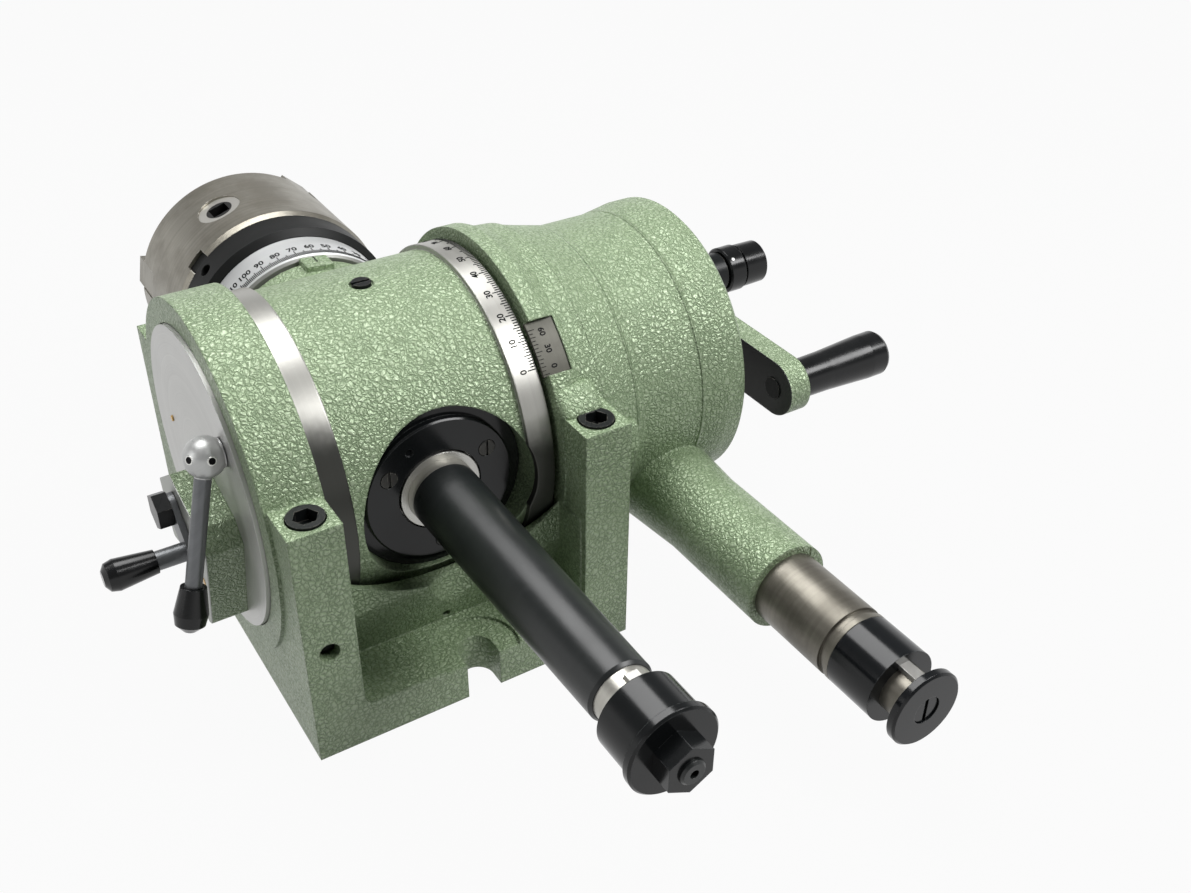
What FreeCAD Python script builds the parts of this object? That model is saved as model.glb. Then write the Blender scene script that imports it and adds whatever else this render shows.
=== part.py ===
import FreeCAD, Part
import math
import os
import re
import Sketcher

from FreeCAD import Placement, Rotation, Vector

# Universal dividing head. The origin is on the underside of the base, straight below the point
# where the spindle axis and the tilt axis cross. +X points to the index crank, +Y along the
# spindle to the chuck and +Z up.

SIZES = {
    # Base casting
    "axis_height": 100, "base_rear": 106.5, "base_front": 106.5, "foot_left": 88.5, "foot_right": 83,
    "foot_height": 22.8, "foot_fillet": 6, "pad_rise": 31, "left_column_inner": 63.4,
    "right_column_inner": 57.6, "column_depth": 46,
    "ring_radius": 88.6, "ring_slope_start": 66, "ring_slope_end": 74, "ring_end_radius": 84.4,
    "left_ring_outer": 90, "left_ring_inner": 62.4, "right_ring_inner": 57, "right_ring_outer": 84.7,
    "web_inset": 4, "web_drop": 20, "drum_clearance": 1.2,
    "cradle_foot": 71.6, "cradle_lip": 82, "lip_rise": 33, "scoop_radius": 85, "lip_front": 11,
    "lip_round": 3, "drain_radius": 2.2,
    "slot_x": -1, "slot_width": 18, "slot_end": 98, "spot_radius": 22, "spot_depth": 1.5,
    "key_width": 18, "key_length": 30, "key_sink": 6, "key_y": 62, "key_tap_radius": 3,
    "key_tap_depth": 14, "vernier_angle": 47.8, "vernier_width": 27.6, "vernier_length": 13.5,
    "vernier_radius": 84.2, "vernier_thickness": 1.6,
    "clamp_screw_radius": 6, "clamp_head_radius": 8.6, "clamp_head_height": 12,
    "clamp_sink": 11, "clamp_hex": 10, "clamp_left_x": 75.5, "clamp_right_x": 70.5, "clamp_y": 94.8,
    "clamp_length": 60, "lug_radius": 5, "lug_depth": 16, "lug_height": 63.2, "lug_x": 77,
    # Swivel body
    "drum_radius": 83, "drum_left": 62, "drum_right": 54.4, "groove_depth": 2.5,
    "left_band": 13, "right_band": 13.2, "journal_radius": 48, "journal_gap": 0.05,
    "nose_radius": 53, "nose_front": 86, "nose_root": 36, "rear_bore_radius": 45, "rear_seat": 62,
    "flange_thickness": 5.7, "flange_radius": 38.4, "screw_head_radius": 4.2, "screw_sink": 1.4, "spindle_radius": 30, "spindle_gap": 0.05,
    "pointer_width": 15, "pointer_run": 11,
    "plug_radius": 4.8, "plug_height": 2.6, "plug_x": 3, "plug_hole": 3,
    # Left cover and its levers
    "cover_radius": 75.8, "cover_face": 92, "cover_thickness": 8, "cover_gap": 0.5,
    "trip_face": 110, "lock_y": 42, "lock_rise": 40, "lock_ball_x": 100, "lock_ball_radius": 9.7,
    "lock_neck_radius": 7, "lock_rod_radius": 3.9, "lock_reach": 60.7, "lock_knob_radius": 7.9,
    "lock_knob_length": 21.5, "lock_lean": 19, "lock_turn": 14, "pivot_radius": 4,
    "trip_pivot_y": -9, "trip_pivot_rise": -4, "trip_rod_y": 25, "trip_rod_rise": -19.5, "trip_plate": 3,
    "trip_rod_radius": 4.7, "trip_rod_length": 14, "trip_knob_radius": 7.8, "trip_knob_length": 24.5,
    "trip_link_radius": 7, "trip_corner": 2.5,
    "trip_bolt_head": 9, "trip_bolt_height": 7,
    # Worm drive
    "wheel_teeth": 40, "gear_module": 2, "wheel_face": 12, "worm_radius": 12, "worm_half": 26,
    "worm_backlash": 0.85, "blank_gap": 0.1, "blank_left": 45.5, "blank_thickness": 8,
    "worm_shaft_radius": 6, "cavity_gap": 2.5,
    # Spindle, dial and chuck
    "dial_radius": 56.2, "dial_rear": 88, "dial_front": 113, "plate_radius": 60.6,
    "plate_front": 134, "chuck_radius": 62.2, "chuck_front": 202, "chuck_bevel": 3.5,
    "chuck_bore_radius": 17.5, "jaw_width": 16, "jaw_gap": 0.1, "jaw_inner": 14, "jaw_rise": 22,
    "jaw_height": 52, "jaw_foot": 24, "scroll_rear": 170, "scroll_front": 182,
    "scroll_radius": 50, "scroll_bore_radius": 24, "pinion_y": 166, "pinion_radius": 12.5,
    "lug_width": 12, "lug_seat": 54, "lug_run": 8, "spanner_hole_radius": 3.6,
    "pinion_key": 10, "pinion_depth": 8,
    # Rear end of the spindle and the mandrel
    "ring_rear": 68.2, "end_ring_radius": 20.7, "mandrel_root_radius": 17.2,
    "mandrel_radius": 15.3, "mandrel_end": 226, "shoulder_radius": 13.6, "collar_start": 237,
    "collar_end": 258, "collar_radius": 19, "washer_radius": 21, "washer_end": 262,
    "nut_width": 25.5, "nut_end": 272.5, "stud_radius": 5.8, "stud_end": 274.5, "centre_hole": 2, "bar_key": 6,
    # End housing
    "housing_start": 85.05, "flange_end": 111.4, "housing_flange_radius": 83.6,
    "bell_radius": 76.4, "bell_flare": 79.2, "bell_end": 175, "bell_wall": 4,
    "cavity_start": 98, "cavity_end": 159.5, "shaft_x": 134.6, "shaft_drop": 47.6,
    "tube_radius": 23.4, "tube_end": 169, "side_shaft_radius": 12, "bush_radius": 19.2,
    "bush_end": 222, "bush_groove": 4, "side_collar_end": 249, "side_hub_radius": 13,
    "side_washer_start": 262, "side_washer_end": 266.2, "side_washer_radius": 19.6,
    "side_screw_radius": 7, "side_screw_head": 2.4, "running_gap": 0.05, "seat_gap": 0.3,
    # Index plate and crank
    "crank_shaft_radius": 11, "sleeve_radius": 15, "index_radius": 72, "index_thickness": 6,
    "index_start": 171.5, "arm_start": 193, "arm_end": 206, "arm_half_width": 15.5,
    "handle_y": 79, "plunger_y": 46, "index_hole_radius": 1.8, "sector_thickness": 2.4,
    "sector_length": 66, "sector_width": 9, "crank_nut_radius": 14, "crank_nut_height": 8,
    "handle_gap": 1.2, "handle_length": 59.5, "handle_root_radius": 10.8, "handle_tip_radius": 12.6,
    "handle_stud_radius": 6, "barrel_radius": 12, "barrel_length": 43, "pin_radius": 3,
    "pin_reach": 9.2, "knob_gap": 1, "knob_length": 31, "knob_radius": 14.3,
}

# Places that follow from the driving sizes
PLACES = {
    "pad_height": "axis_height + pad_rise",
    "lock_z": "axis_height + lock_rise",
    "trip_pivot_z": "axis_height + trip_pivot_rise",
    "trip_rod_z": "axis_height + trip_rod_rise",
    "shaft_z": "axis_height - shaft_drop",
    "crank_nut_end": "arm_end + crank_nut_height",
    "handle_start": "arm_end + handle_gap",
    "handle_end": "arm_end + handle_gap + handle_length",
    "barrel_end": "arm_end + barrel_length",
    "pin_tip": "arm_start - pin_reach",
    "knob_start": "arm_end + barrel_length + knob_gap",
    "knob_end": "arm_end + barrel_length + knob_gap + knob_length",
}

doc = FreeCAD.newDocument("DividingHead")
sheet = doc.addObject("Spreadsheet::Sheet", "dims")
for row, (alias, value) in enumerate(SIZES.items(), 1):
    sheet.set(f"A{row}", alias)
    sheet.set(f"B{row}", str(value))
    sheet.setAlias(f"B{row}", alias)
doc.recompute()

TURNS = {
    "X": Rotation(),
    "-X": Rotation(Vector(0, 0, 1), 180),
    "Y": Rotation(Vector(0, 0, 1), 90),
    "-Y": Rotation(Vector(0, 0, 1), -90),
    "Z": Rotation(Vector(0, 1, 0), -90),
    "-Z": Rotation(Vector(0, 1, 0), 90),
}
STAND_UP = Rotation(Vector(0, 1, 0), 90)
AXIS = ("0", "0", "axis_height")
nodes = []
counter = [0]


def cell(word):
    """The sheet's name for a size, or the sum of sizes that a place stands for."""
    name = word[0]
    if name in PLACES:
        return "(" + bound(PLACES[name]) + ")"
    return "dims." + name if name in SIZES else name


def bound(text):
    """Write a length given in sheet aliases as an expression on the sheet."""
    return re.sub(r"[a-z][a-z_]+", cell, str(text))


def number(text):
    """The present value of such a length."""
    return float(sheet.evalExpression(bound(text)))


def fresh(stem):
    counter[0] += 1
    return f"{stem}_{counter[0]}"


def bind(thing, **sizes):
    for name, text in sizes.items():
        thing.setExpression(name, bound(text))
    return thing


def put(thing, at, turn=None):
    """Place an object: each coordinate is tied to the sheet, the turn is fixed."""
    thing.Placement = Placement(Vector(*[number(value) for value in at]), turn or Rotation())
    for letter, value in zip("xyz", at):
        thing.setExpression(f".Placement.Base.{letter}", bound(value))
    return thing


def rod(radius, length, at, way="X"):
    """A cylinder that starts at a point and runs along an axis."""
    thing = doc.addObject("Part::Cylinder", fresh("rod"))
    bind(thing, Radius=radius, Height=length)
    return put(thing, at, TURNS[way] * STAND_UP)


def cone(start_radius, end_radius, length, at, way="X"):
    thing = doc.addObject("Part::Cone", fresh("cone"))
    bind(thing, Radius1=start_radius, Radius2=end_radius, Height=length)
    return put(thing, at, TURNS[way] * STAND_UP)


def block(low, high):
    """A box between two corners."""
    thing = doc.addObject("Part::Box", fresh("block"))
    spans = [f"({b}) - ({a})" for a, b in zip(low, high)]
    bind(thing, Length=spans[0], Width=spans[1], Height=spans[2])
    return put(thing, low)


def prism(sides, flats, length, at, way="X", spin=0):
    """A regular bar with its size given across flats."""
    thing = doc.addObject("Part::Prism", fresh("prism"))
    thing.Polygon = sides
    bind(thing, Circumradius=f"({flats}) / 2 / cos(180 deg / {sides})", Height=length)
    return put(thing, at, TURNS[way] * STAND_UP * Rotation(Vector(0, 0, 1), spin))


def joined(*things):
    if len(things) == 1:
        return things[0]
    whole = doc.addObject("Part::MultiFuse", fresh("joined"))
    whole.Shapes = list(things)
    return whole


def less(base, *tools):
    cut = doc.addObject("Part::Cut", fresh("less"))
    cut.Base = base
    cut.Tool = joined(*tools)
    return cut


def common(first, second):
    both = doc.addObject("Part::MultiCommon", fresh("common"))
    both.Shapes = [first, second]
    return both


def node(label, thing):
    """Name a finished sub-part."""
    thing.Label = label
    nodes.append(thing)
    return thing


def solid(stem, shape):
    thing = doc.addObject("Part::Feature", fresh(stem))
    thing.Shape = shape
    return thing


def turned(outline, at=AXIS, way="X"):
    """A turned body: the outline lists (place along the axis, radius) and closes by itself."""
    body = doc.addObject("PartDesign::Body", fresh("turned"))
    sketch = body.newObject("Sketcher::SketchObject", fresh("outline"))
    plane = [item for item in body.Origin.OriginFeatures if item.Role == "XY_Plane"][0]
    sketch.AttachmentSupport = [(plane, "")]
    sketch.MapMode = "FlatFace"
    points = [Vector(number(along), number(radius), 0) for along, radius in outline]
    for first, second in zip(points, points[1:] + points[:1]):
        sketch.addGeometry(Part.LineSegment(first, second), False)
    count = len(points)
    for index in range(count):
        sketch.addConstraint(Sketcher.Constraint("Coincident", index, 2, (index + 1) % count, 1))
    for index, (along, radius) in enumerate(outline):
        for kind, text, value in (("DistanceX", along, points[index].x),
                                  ("DistanceY", radius, points[index].y)):
            if str(text) == "0":
                line = -2 if kind == "DistanceX" else -1
                sketch.addConstraint(Sketcher.Constraint("PointOnObject", index, 1, line))
                continue
            spot = sketch.addConstraint(Sketcher.Constraint(kind, -1, 1, index, 1, value))
            sketch.setExpression(f"Constraints[{spot}]", bound(text))
    spin = body.newObject("PartDesign::Revolution", fresh("spin"))
    spin.Profile = sketch
    spin.ReferenceAxis = (sketch, ["H_Axis"])
    spin.Angle = 360
    return put(body, at, TURNS[way])


def ring_of(make, count, start=0):
    """Copies of a shape spread evenly round an axis, made by a function of the angle."""
    return [make(start + 360 * step / count) for step in range(count)]


def polar_y(radius, angle, along):
    """A point round the spindle axis, the angle counted from straight up."""
    across = f"({radius}) * sin({angle} deg)"
    up = f"axis_height + ({radius}) * cos({angle} deg)"
    return (across, along, up)


def polar_x(radius, angle, along):
    """A point round the tilt axis, the angle counted from straight up towards the back."""
    return (along, f"0 - ({radius}) * sin({angle} deg)", f"axis_height + ({radius}) * cos({angle} deg)")


def radial(thing, angle, radius, along):
    """Turn a piece made along +Z round the spindle axis."""
    return put(thing, polar_y(radius, angle, along), Rotation(Vector(0, 1, 0), angle))


def radial_block(angle, width, radius, height, start, stop):
    """Block standing across the spindle axis at an angle, its middle on that angle."""
    bar = doc.addObject("Part::Box", fresh("bar"))
    bind(bar, Length=width, Width=f"({stop}) - ({start})", Height=height)
    turn = Rotation(Vector(0, 1, 0), angle)
    side = turn.multVec(Vector(1, 0, 0))
    at = polar_y(radius, angle, start)
    return put(bar, (f"{at[0]} - ({width}) / 2 * ({side.x:.5f})", at[1],
                     f"{at[2]} - ({width}) / 2 * ({side.z:.5f})"), turn)


# Base casting: foot, two ring guides on columns and a cradle wall between them
def foot_corner(run, edge, way):
    """The rounded inner corner where a column meets the top of the foot."""
    far = f"{edge} + ({way}) * foot_fillet"
    sides = (edge, far) if way > 0 else (far, edge)
    bar = block((sides[0], run[0], "foot_height - 1"), (sides[1], run[1], "foot_height + foot_fillet"))
    return less(bar, rod("foot_fillet", 400, (far, -200, "foot_height + foot_fillet"), "Y"))


def base_side(sign):
    """Columns with clamp pads on the back (-1) or the front (1) of the base."""
    face = "0 - base_rear" if sign < 0 else "base_front"
    inner = "column_depth - base_rear" if sign < 0 else "base_front - column_depth"
    ends = (face, inner) if sign < 0 else (inner, face)
    left = block(("0 - foot_left", ends[0], 0), ("0 - left_column_inner", ends[1], "pad_height"))
    right = block(("right_column_inner", ends[0], 0), ("foot_right", ends[1], "pad_height"))
    run = ("0 - base_rear", "0 - cradle_foot") if sign < 0 else ("cradle_foot", "base_front")
    return [left, right, foot_corner(run, "0 - left_column_inner", 1), foot_corner(run, "right_column_inner", -1)]


def foot_slot(sign):
    """One open-ended bolt slot with its spot face."""
    edge = "0 - base_rear - 5" if sign < 0 else "slot_end"
    stop = "0 - slot_end" if sign < 0 else "base_front + 5"
    middle = "0 - slot_end" if sign < 0 else "slot_end"
    run = block(("slot_x - slot_width / 2", edge, -5), ("slot_x + slot_width / 2", stop, "foot_height + 5"))
    end = rod("slot_width / 2", "foot_height + 10", ("slot_x", middle, -5), "Z")
    spot = rod("spot_radius", 60, ("slot_x", middle, "foot_height - spot_depth"), "Z")
    low = "0 - cradle_foot" if sign < 0 else "cradle_foot"
    outer = "0 - base_rear - 20" if sign < 0 else "base_front + 20"
    ends = (outer, low) if sign < 0 else (low, outer)
    shell = block(("slot_x - 40", ends[0], "foot_height - spot_depth"), ("slot_x + 40", ends[1], 80))
    return [run, end, common(spot, shell)]


foot = block(("0 - foot_left", "0 - base_rear", 0), ("foot_right", "base_front", "foot_height"))
left_ring = rod("ring_radius", "left_ring_outer - left_ring_inner", ("0 - left_ring_outer", 0, "axis_height"))
right_ring = turned([("right_ring_inner", "journal_radius - 6"), ("right_ring_inner", "ring_radius"),
                     ("ring_slope_start", "ring_radius"), ("ring_slope_end", "ring_end_radius + 0.8"),
                     ("right_ring_outer", "ring_end_radius"), ("right_ring_outer", "journal_radius - 6")])


def cradle():
    """The trough under the drum: a high back lip with a scooped top, and a low front lip."""
    top = number("foot_height")
    lip = top + number("lip_rise")
    left, right = 0 - number("left_column_inner") - 1, number("right_column_inner") + 1
    rear, bottom = number("cradle_lip"), number("cradle_foot")
    front = top + number("lip_front")
    wall = [(0 - bottom, top - 1), (0 - bottom, top), (0 - rear, lip), (0 - rear, lip + 40), (0, lip + 40), (0, top - 1)]
    low = [(0, top - 1), (0, front), (bottom - 8, front), (bottom, top), (bottom, top - 1)]
    parts = []
    for outline in (wall, low):
        corners = [Vector(left, y, z) for y, z in outline]
        parts.append(Part.Face(Part.makePolygon(corners + corners[:1])).extrude(Vector(right - left, 0, 0)))
    radius = number("scoop_radius")
    scoop = Part.makeCylinder(radius, rear + 20, Vector(-2, 0 - rear - 20, lip + radius), Vector(0, 1, 0))
    back = parts[0].cut(scoop)
    ridge = [edge for edge in back.Edges if abs(edge.BoundBox.YMin + rear) < 0.01
             and edge.BoundBox.YLength < 0.01 and edge.BoundBox.ZMax > lip + 5]
    try:
        back = back.makeFillet(number("lip_round"), [edge for edge in ridge if edge.BoundBox.XLength > 60])
    except Part.OCCError:
        pass
    return back, parts[1]


back_wall, front_wall = [solid("cradle", shape) for shape in cradle()]
left_web = block(("0 - foot_left", "web_inset - base_rear", 0),
                 ("0 - left_ring_inner", "base_front - web_inset", "axis_height - web_drop"))
right_web = block(("right_ring_inner", "web_inset - base_rear", 0),
                  ("foot_right", "base_front - web_inset", "axis_height - web_drop"))
base_mass = joined(foot, left_ring, right_ring, left_web, right_web, back_wall, front_wall,
                   *base_side(-1), *base_side(1))
drum_room = rod("drum_radius + drum_clearance", "left_ring_inner + right_ring_inner",
                ("0 - left_ring_inner", 0, "axis_height"))
journal_bore = rod("journal_radius + journal_gap", "left_ring_outer + right_ring_outer + 10",
                   ("0 - left_ring_outer - 5", 0, "axis_height"))
cover_seat = rod("cover_radius + cover_gap", 20,
                 ("0 - cover_face + cover_thickness - 20", 0, "axis_height"))
drain = rod("drain_radius", 12, ("slot_x - 3", "0 - cradle_foot - 6", "foot_height + drain_radius + 2"), "Y")


def clamp_hole(side_x):
    shank = rod("clamp_screw_radius + 0.5", "clamp_length + 6",
                (side_x, "0 - clamp_y", "pad_height - clamp_sink - clamp_length - 4"), "Z")
    sink = rod("clamp_head_radius + 0.5", "clamp_sink + 5", (side_x, "0 - clamp_y", "pad_height - clamp_sink"), "Z")
    return [shank, sink]


def key_seat(sign):
    """Groove and tapped hole for a table key, under one end of the foot."""
    middle = f"({sign}) * key_y"
    groove = block(("slot_x - key_width / 2", f"{middle} - key_length / 2", -1),
                   ("slot_x + key_width / 2", f"{middle} + key_length / 2", "key_sink"))
    hole = rod("key_tap_radius", "key_tap_depth", ("slot_x", middle, "key_sink - 1"), "Z")
    return [groove, hole]


def vernier_window(inset):
    """Space on the right ring for the vernier plate, at its angle behind the top."""
    angle = number("vernier_angle")
    window = doc.addObject("Part::Box", fresh("window"))
    bind(window, Length=f"vernier_length + 5 - {inset}", Width=f"vernier_width - 2 * {inset}", Height="40")
    across = f"(vernier_width / 2 - {inset})"
    corner = ("right_ring_inner - 5", f"{across} * (0 - cos(vernier_angle * 1 deg)) - 65 * sin(vernier_angle * 1 deg)",
              f"axis_height + 65 * cos(vernier_angle * 1 deg) - {across} * sin(vernier_angle * 1 deg)")
    return put(window, corner, Rotation(Vector(1, 0, 0), angle))


def vernier_shell(outer, inner):
    shell = rod(outer, "vernier_length + 8", ("right_ring_inner - 3", 0, "axis_height"))
    return less(shell, rod(inner, 90, ("right_ring_inner - 20", 0, "axis_height")))


lug_hole = rod("lug_radius", "lug_depth", ("0 - lug_x", "0 - base_rear", "lug_height"), "Y")
node("base", less(base_mass, drum_room, journal_bore, cover_seat, drain, lug_hole, *foot_slot(-1), *foot_slot(1),
                  *clamp_hole("0 - clamp_left_x"), *clamp_hole("clamp_right_x"),
                  *key_seat(-1), *key_seat(1),
                  common(vernier_window(0), vernier_shell("ring_radius + 5", "vernier_radius"))))


plate_shell = vernier_shell("vernier_radius + vernier_thickness", "vernier_radius")
node("vernier_plate", common(plate_shell, common(vernier_window(0.2), block(
    ("right_ring_inner - 1.6", -200, 0), ("right_ring_outer", 200, 400)))))


def clamp_screw(side_x):
    head_base = "pad_height - clamp_sink"
    shank = rod("clamp_screw_radius", "clamp_length", (side_x, "0 - clamp_y", f"{head_base} - clamp_length"), "Z")
    head = rod("clamp_head_radius", "clamp_head_height", (side_x, "0 - clamp_y", head_base), "Z")
    socket = prism(6, "clamp_hex", "7", (side_x, "0 - clamp_y", f"{head_base} + clamp_head_height - 6"), "Z")
    return less(joined(shank, head), socket)


node("clamp_screws", joined(clamp_screw("0 - clamp_left_x"), clamp_screw("clamp_right_x")))

# Swivel body: a drum with a machined band at each end, journals in the rings and a spindle nose
drum = turned([("0 - drum_left", "0"), ("0 - drum_left", "drum_radius"),
               ("left_band - drum_left", "drum_radius"),
               ("left_band - drum_left", "drum_radius - groove_depth"),
               ("drum_right - right_band", "drum_radius - groove_depth"),
               ("drum_right - right_band", "drum_radius"),
               ("drum_right", "drum_radius"), ("drum_right", "0")])
left_journal = rod("journal_radius", "cover_face - cover_thickness - drum_left",
                   ("cover_thickness - cover_face", 0, "axis_height"))
nose = cone("nose_radius + 1", "nose_radius", "nose_front - nose_root", ("0", "nose_root", "axis_height"), "Y")
rear_counterbore = rod("rear_bore_radius", 60, ("0", "0 - rear_seat", "axis_height"), "-Y")
spindle_bore = rod("spindle_radius + spindle_gap", 240, ("0", -120, "axis_height"), "Y")
wheel_radius = "gear_module * wheel_teeth / 2"
worm_z = f"axis_height + {wheel_radius} + worm_radius"
wheel_room = rod(f"{wheel_radius} + gear_module + cavity_gap", "wheel_face + 5",
                 ("0", "0 - wheel_face / 2 - 2.5", "axis_height"), "Y")
worm_room = rod("worm_radius + gear_module + cavity_gap", "worm_half + blank_left + 2",
                ("0 - worm_half - 2", 0, worm_z))
blank_radius = f"({wheel_radius} + worm_radius) / 2 - blank_gap"
blank_room = [rod(f"{blank_radius} + 1.5", "drum_right - blank_left + 2", ("blank_left - 1.5", 0, level))
              for level in ("axis_height", worm_z)]
plug_room = rod("plug_hole", 30, ("0 - plug_x", 0, "axis_height + drum_radius - 20"), "Z")
plug_spot = rod("plug_radius + 1", 30, ("0 - plug_x", 0, "axis_height + drum_radius - groove_depth - 1.5"), "Z")
worm_seat = rod("worm_shaft_radius + running_gap", "14", ("0 - worm_half - 15", 0, worm_z))
lock_room = rod("pivot_radius + running_gap", "26", ("0 - drum_left - 24", "0 - lock_y", "lock_z"))
pointer_angle = 4.8
pointer = radial_block(pointer_angle, "pointer_width", "nose_radius - 8", "dial_radius - nose_radius + 7.6",
                       "nose_front - pointer_run", "nose_front + 1.2")
node("swivel_body", less(joined(drum, left_journal, nose, pointer), rear_counterbore, spindle_bore, wheel_room,
                         worm_room, plug_room, plug_spot, worm_seat, *blank_room))
plug_level = "axis_height + drum_radius - groove_depth - 1.5"
node("oil_plug", less(joined(rod("plug_radius", "plug_height", ("0 - plug_x", 0, plug_level), "Z"),
                             rod("plug_hole - 0.05", 12, ("0 - plug_x", 0, f"{plug_level} - 12"), "Z")),
                      block(("0 - plug_x - 10", -1, f"{plug_level} + plug_height - 1.5"),
                            ("0 - plug_x + 10", 1, f"{plug_level} + plug_height + 1"))))
shaft_room = "crank_shaft_radius + 4"
node("right_trunnion", turned([("drum_right", shaft_room), ("drum_right", "journal_radius + 6"),
                               ("drum_right + 2.2", "journal_radius + 6"),
                               ("drum_right + 2.2", "journal_radius"),
                               ("right_ring_outer - 0.5", "journal_radius"),
                               ("right_ring_outer - 0.5", "crank_shaft_radius + running_gap"),
                               ("drum_right + 20", "crank_shaft_radius + running_gap"),
                               ("drum_right + 20", shaft_room)]))

# Left cover disc with the trip block, the spindle lock lever and the worm trip lever
cover = rod("cover_radius", "cover_thickness", ("0 - cover_face", 0, "axis_height"))
lock_hole = rod("pivot_radius + running_gap", "cover_thickness + 2", ("0 - cover_face - 1", "0 - lock_y", "lock_z"))
node("left_cover", less(cover, lock_hole))
TRIP_OUTLINE = ((17, -4), (-6, 12), (-42, 3), (-50, -7), (-34, -60), (-25, -64), (-35, -26), (12, -36))


def trip_block():
    """Cast block with rounded corners on the cover disc."""
    corners = [Vector(0, y, z) for y, z in TRIP_OUTLINE]
    face = Part.Face(Part.makePolygon(corners + corners[:1]))
    depth = number("trip_face - cover_face")
    plain = face.extrude(Vector(-depth, 0, 0))
    edges = [edge for edge in plain.Edges if abs(edge.tangentAt(edge.FirstParameter).x) > 0.99]
    return plain.makeFillet(number("trip_corner"), edges)


trip = put(solid("trip", trip_block()), ("0 - cover_face", 0, "axis_height"))
trip_hole = rod("pivot_radius + running_gap", "20", ("0 - trip_face - 1", "trip_pivot_y", "trip_pivot_z"))
node("trip_block", less(trip, trip_hole))
plate_end = "0 - trip_face - seat_gap"


def trip_link():
    """Flat link from the pivot bolt to the lever's rod, round at both ends."""
    start = Vector(0, 0 - number("trip_rod_y"), number("trip_rod_rise"))
    stop = Vector(0, number("trip_pivot_y"), number("trip_pivot_rise"))
    radius, depth = number("trip_link_radius"), number("trip_plate")
    side = (stop - start).cross(Vector(1, 0, 0)).normalize() * radius
    corners = [start + side, stop + side, stop - side, start - side]
    bar = Part.Face(Part.makePolygon(corners + corners[:1])).extrude(Vector(-depth, 0, 0))
    ends = [Part.makeCylinder(radius, depth, at, Vector(-1, 0, 0)) for at in (start, stop)]
    return bar.fuse(ends).removeSplitter()


trip_arm = put(solid("link", trip_link()), (plate_end, 0, "axis_height"))
trip_stem = rod("trip_rod_radius", "trip_rod_length",
                (f"{plate_end} - trip_plate", "0 - trip_rod_y", "trip_rod_z"), "-X")
trip_bore = rod("pivot_radius + running_gap", "trip_plate + 2",
                (f"{plate_end} - trip_plate - 1", "trip_pivot_y", "trip_pivot_z"))
node("trip_lever", less(joined(trip_arm, trip_stem), trip_bore))
knob_at = "trip_face + seat_gap + trip_plate + trip_rod_length"
node("trip_knob", turned([("0", "0"), ("0", "trip_knob_radius - 2"),
                          ("trip_knob_length - 6", "trip_knob_radius"),
                          ("trip_knob_length - 2", "trip_knob_radius - 1"),
                          ("trip_knob_length", "trip_knob_radius - 4"), ("trip_knob_length", "0")],
                         (f"0 - ({knob_at})", "0 - trip_rod_y", "trip_rod_z"), "-X"))
bolt_face = f"{plate_end} - trip_plate - seat_gap"
node("trip_bolt", joined(rod("pivot_radius", "18", (bolt_face, "trip_pivot_y", "trip_pivot_z")),
                         prism(6, "trip_bolt_head * 1.8", "trip_bolt_height",
                               (bolt_face, "trip_pivot_y", "trip_pivot_z"), "-X")))
LEAN = Rotation(Vector(0, 0, 1), Vector(-22, -16, -65))
ball_at = ("0 - lock_ball_x", "0 - lock_y", "lock_z")
ball = bind(doc.addObject("Part::Sphere", fresh("ball")), Radius="lock_ball_radius")
put(ball, ball_at)
lock_face = "0 - cover_face - seat_gap"
ball_cut = block((lock_face, -100, 100), (0, 50, 250))
lock_neck = rod("lock_neck_radius", "6", (lock_face, "0 - lock_y", "lock_z"), "-X")
lock_pin = rod("pivot_radius", "seat_gap + cover_thickness", (lock_face, "0 - lock_y", "lock_z"))
lock_rod = bind(doc.addObject("Part::Cylinder", fresh("rod")), Radius="lock_rod_radius", Height="lock_reach")
put(lock_rod, ball_at, LEAN)
node("lock_lever", joined(less(ball, ball_cut), lock_neck, lock_pin, lock_rod))
lean_way = LEAN.multVec(Vector(0, 0, 1))


def along_lean(distance):
    """A point on the lock lever's rod, measured from the middle of its ball."""
    return (f"0 - lock_ball_x + ({distance}) * ({lean_way.x:.5f})",
            f"0 - lock_y + ({distance}) * ({lean_way.y:.5f})",
            f"lock_z + ({distance}) * ({lean_way.z:.5f})")


lock_knob = turned([("0", "0"), ("0", "lock_rod_radius + 2"), ("lock_knob_length * 0.6", "lock_knob_radius"),
                    ("lock_knob_length * 0.85", "lock_knob_radius - 1"),
                    ("lock_knob_length", "lock_knob_radius - 5"), ("lock_knob_length", "0")])
put(lock_knob, along_lean("lock_reach"), LEAN * Rotation(Vector(0, 1, 0), -90))
node("lock_knob", lock_knob)

# Rear flange with slotted screws
flange_rear = "rear_seat + flange_thickness"
SCREW_START = 60


def flange_spot(angle):
    return polar_y("flange_radius - 8.9", angle, f"screw_sink - ({flange_rear})")


def screw_seat_at(angle):
    return rod("screw_head_radius + seat_gap", "5", flange_spot(angle), "-Y")


def flange_screw(angle):
    """Slotted screw sunk in the flange, its head just proud of the face."""
    at = flange_spot(angle)
    head = rod("screw_head_radius", "screw_sink + 0.3", at, "-Y")
    top = f"{at[1]} - screw_sink - 0.3"
    return less(head, block((f"{at[0]} - 0.7", top, f"{at[2]} - 6"), (f"{at[0]} + 0.7", f"{top} + 1", f"{at[2]} + 6")))


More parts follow.
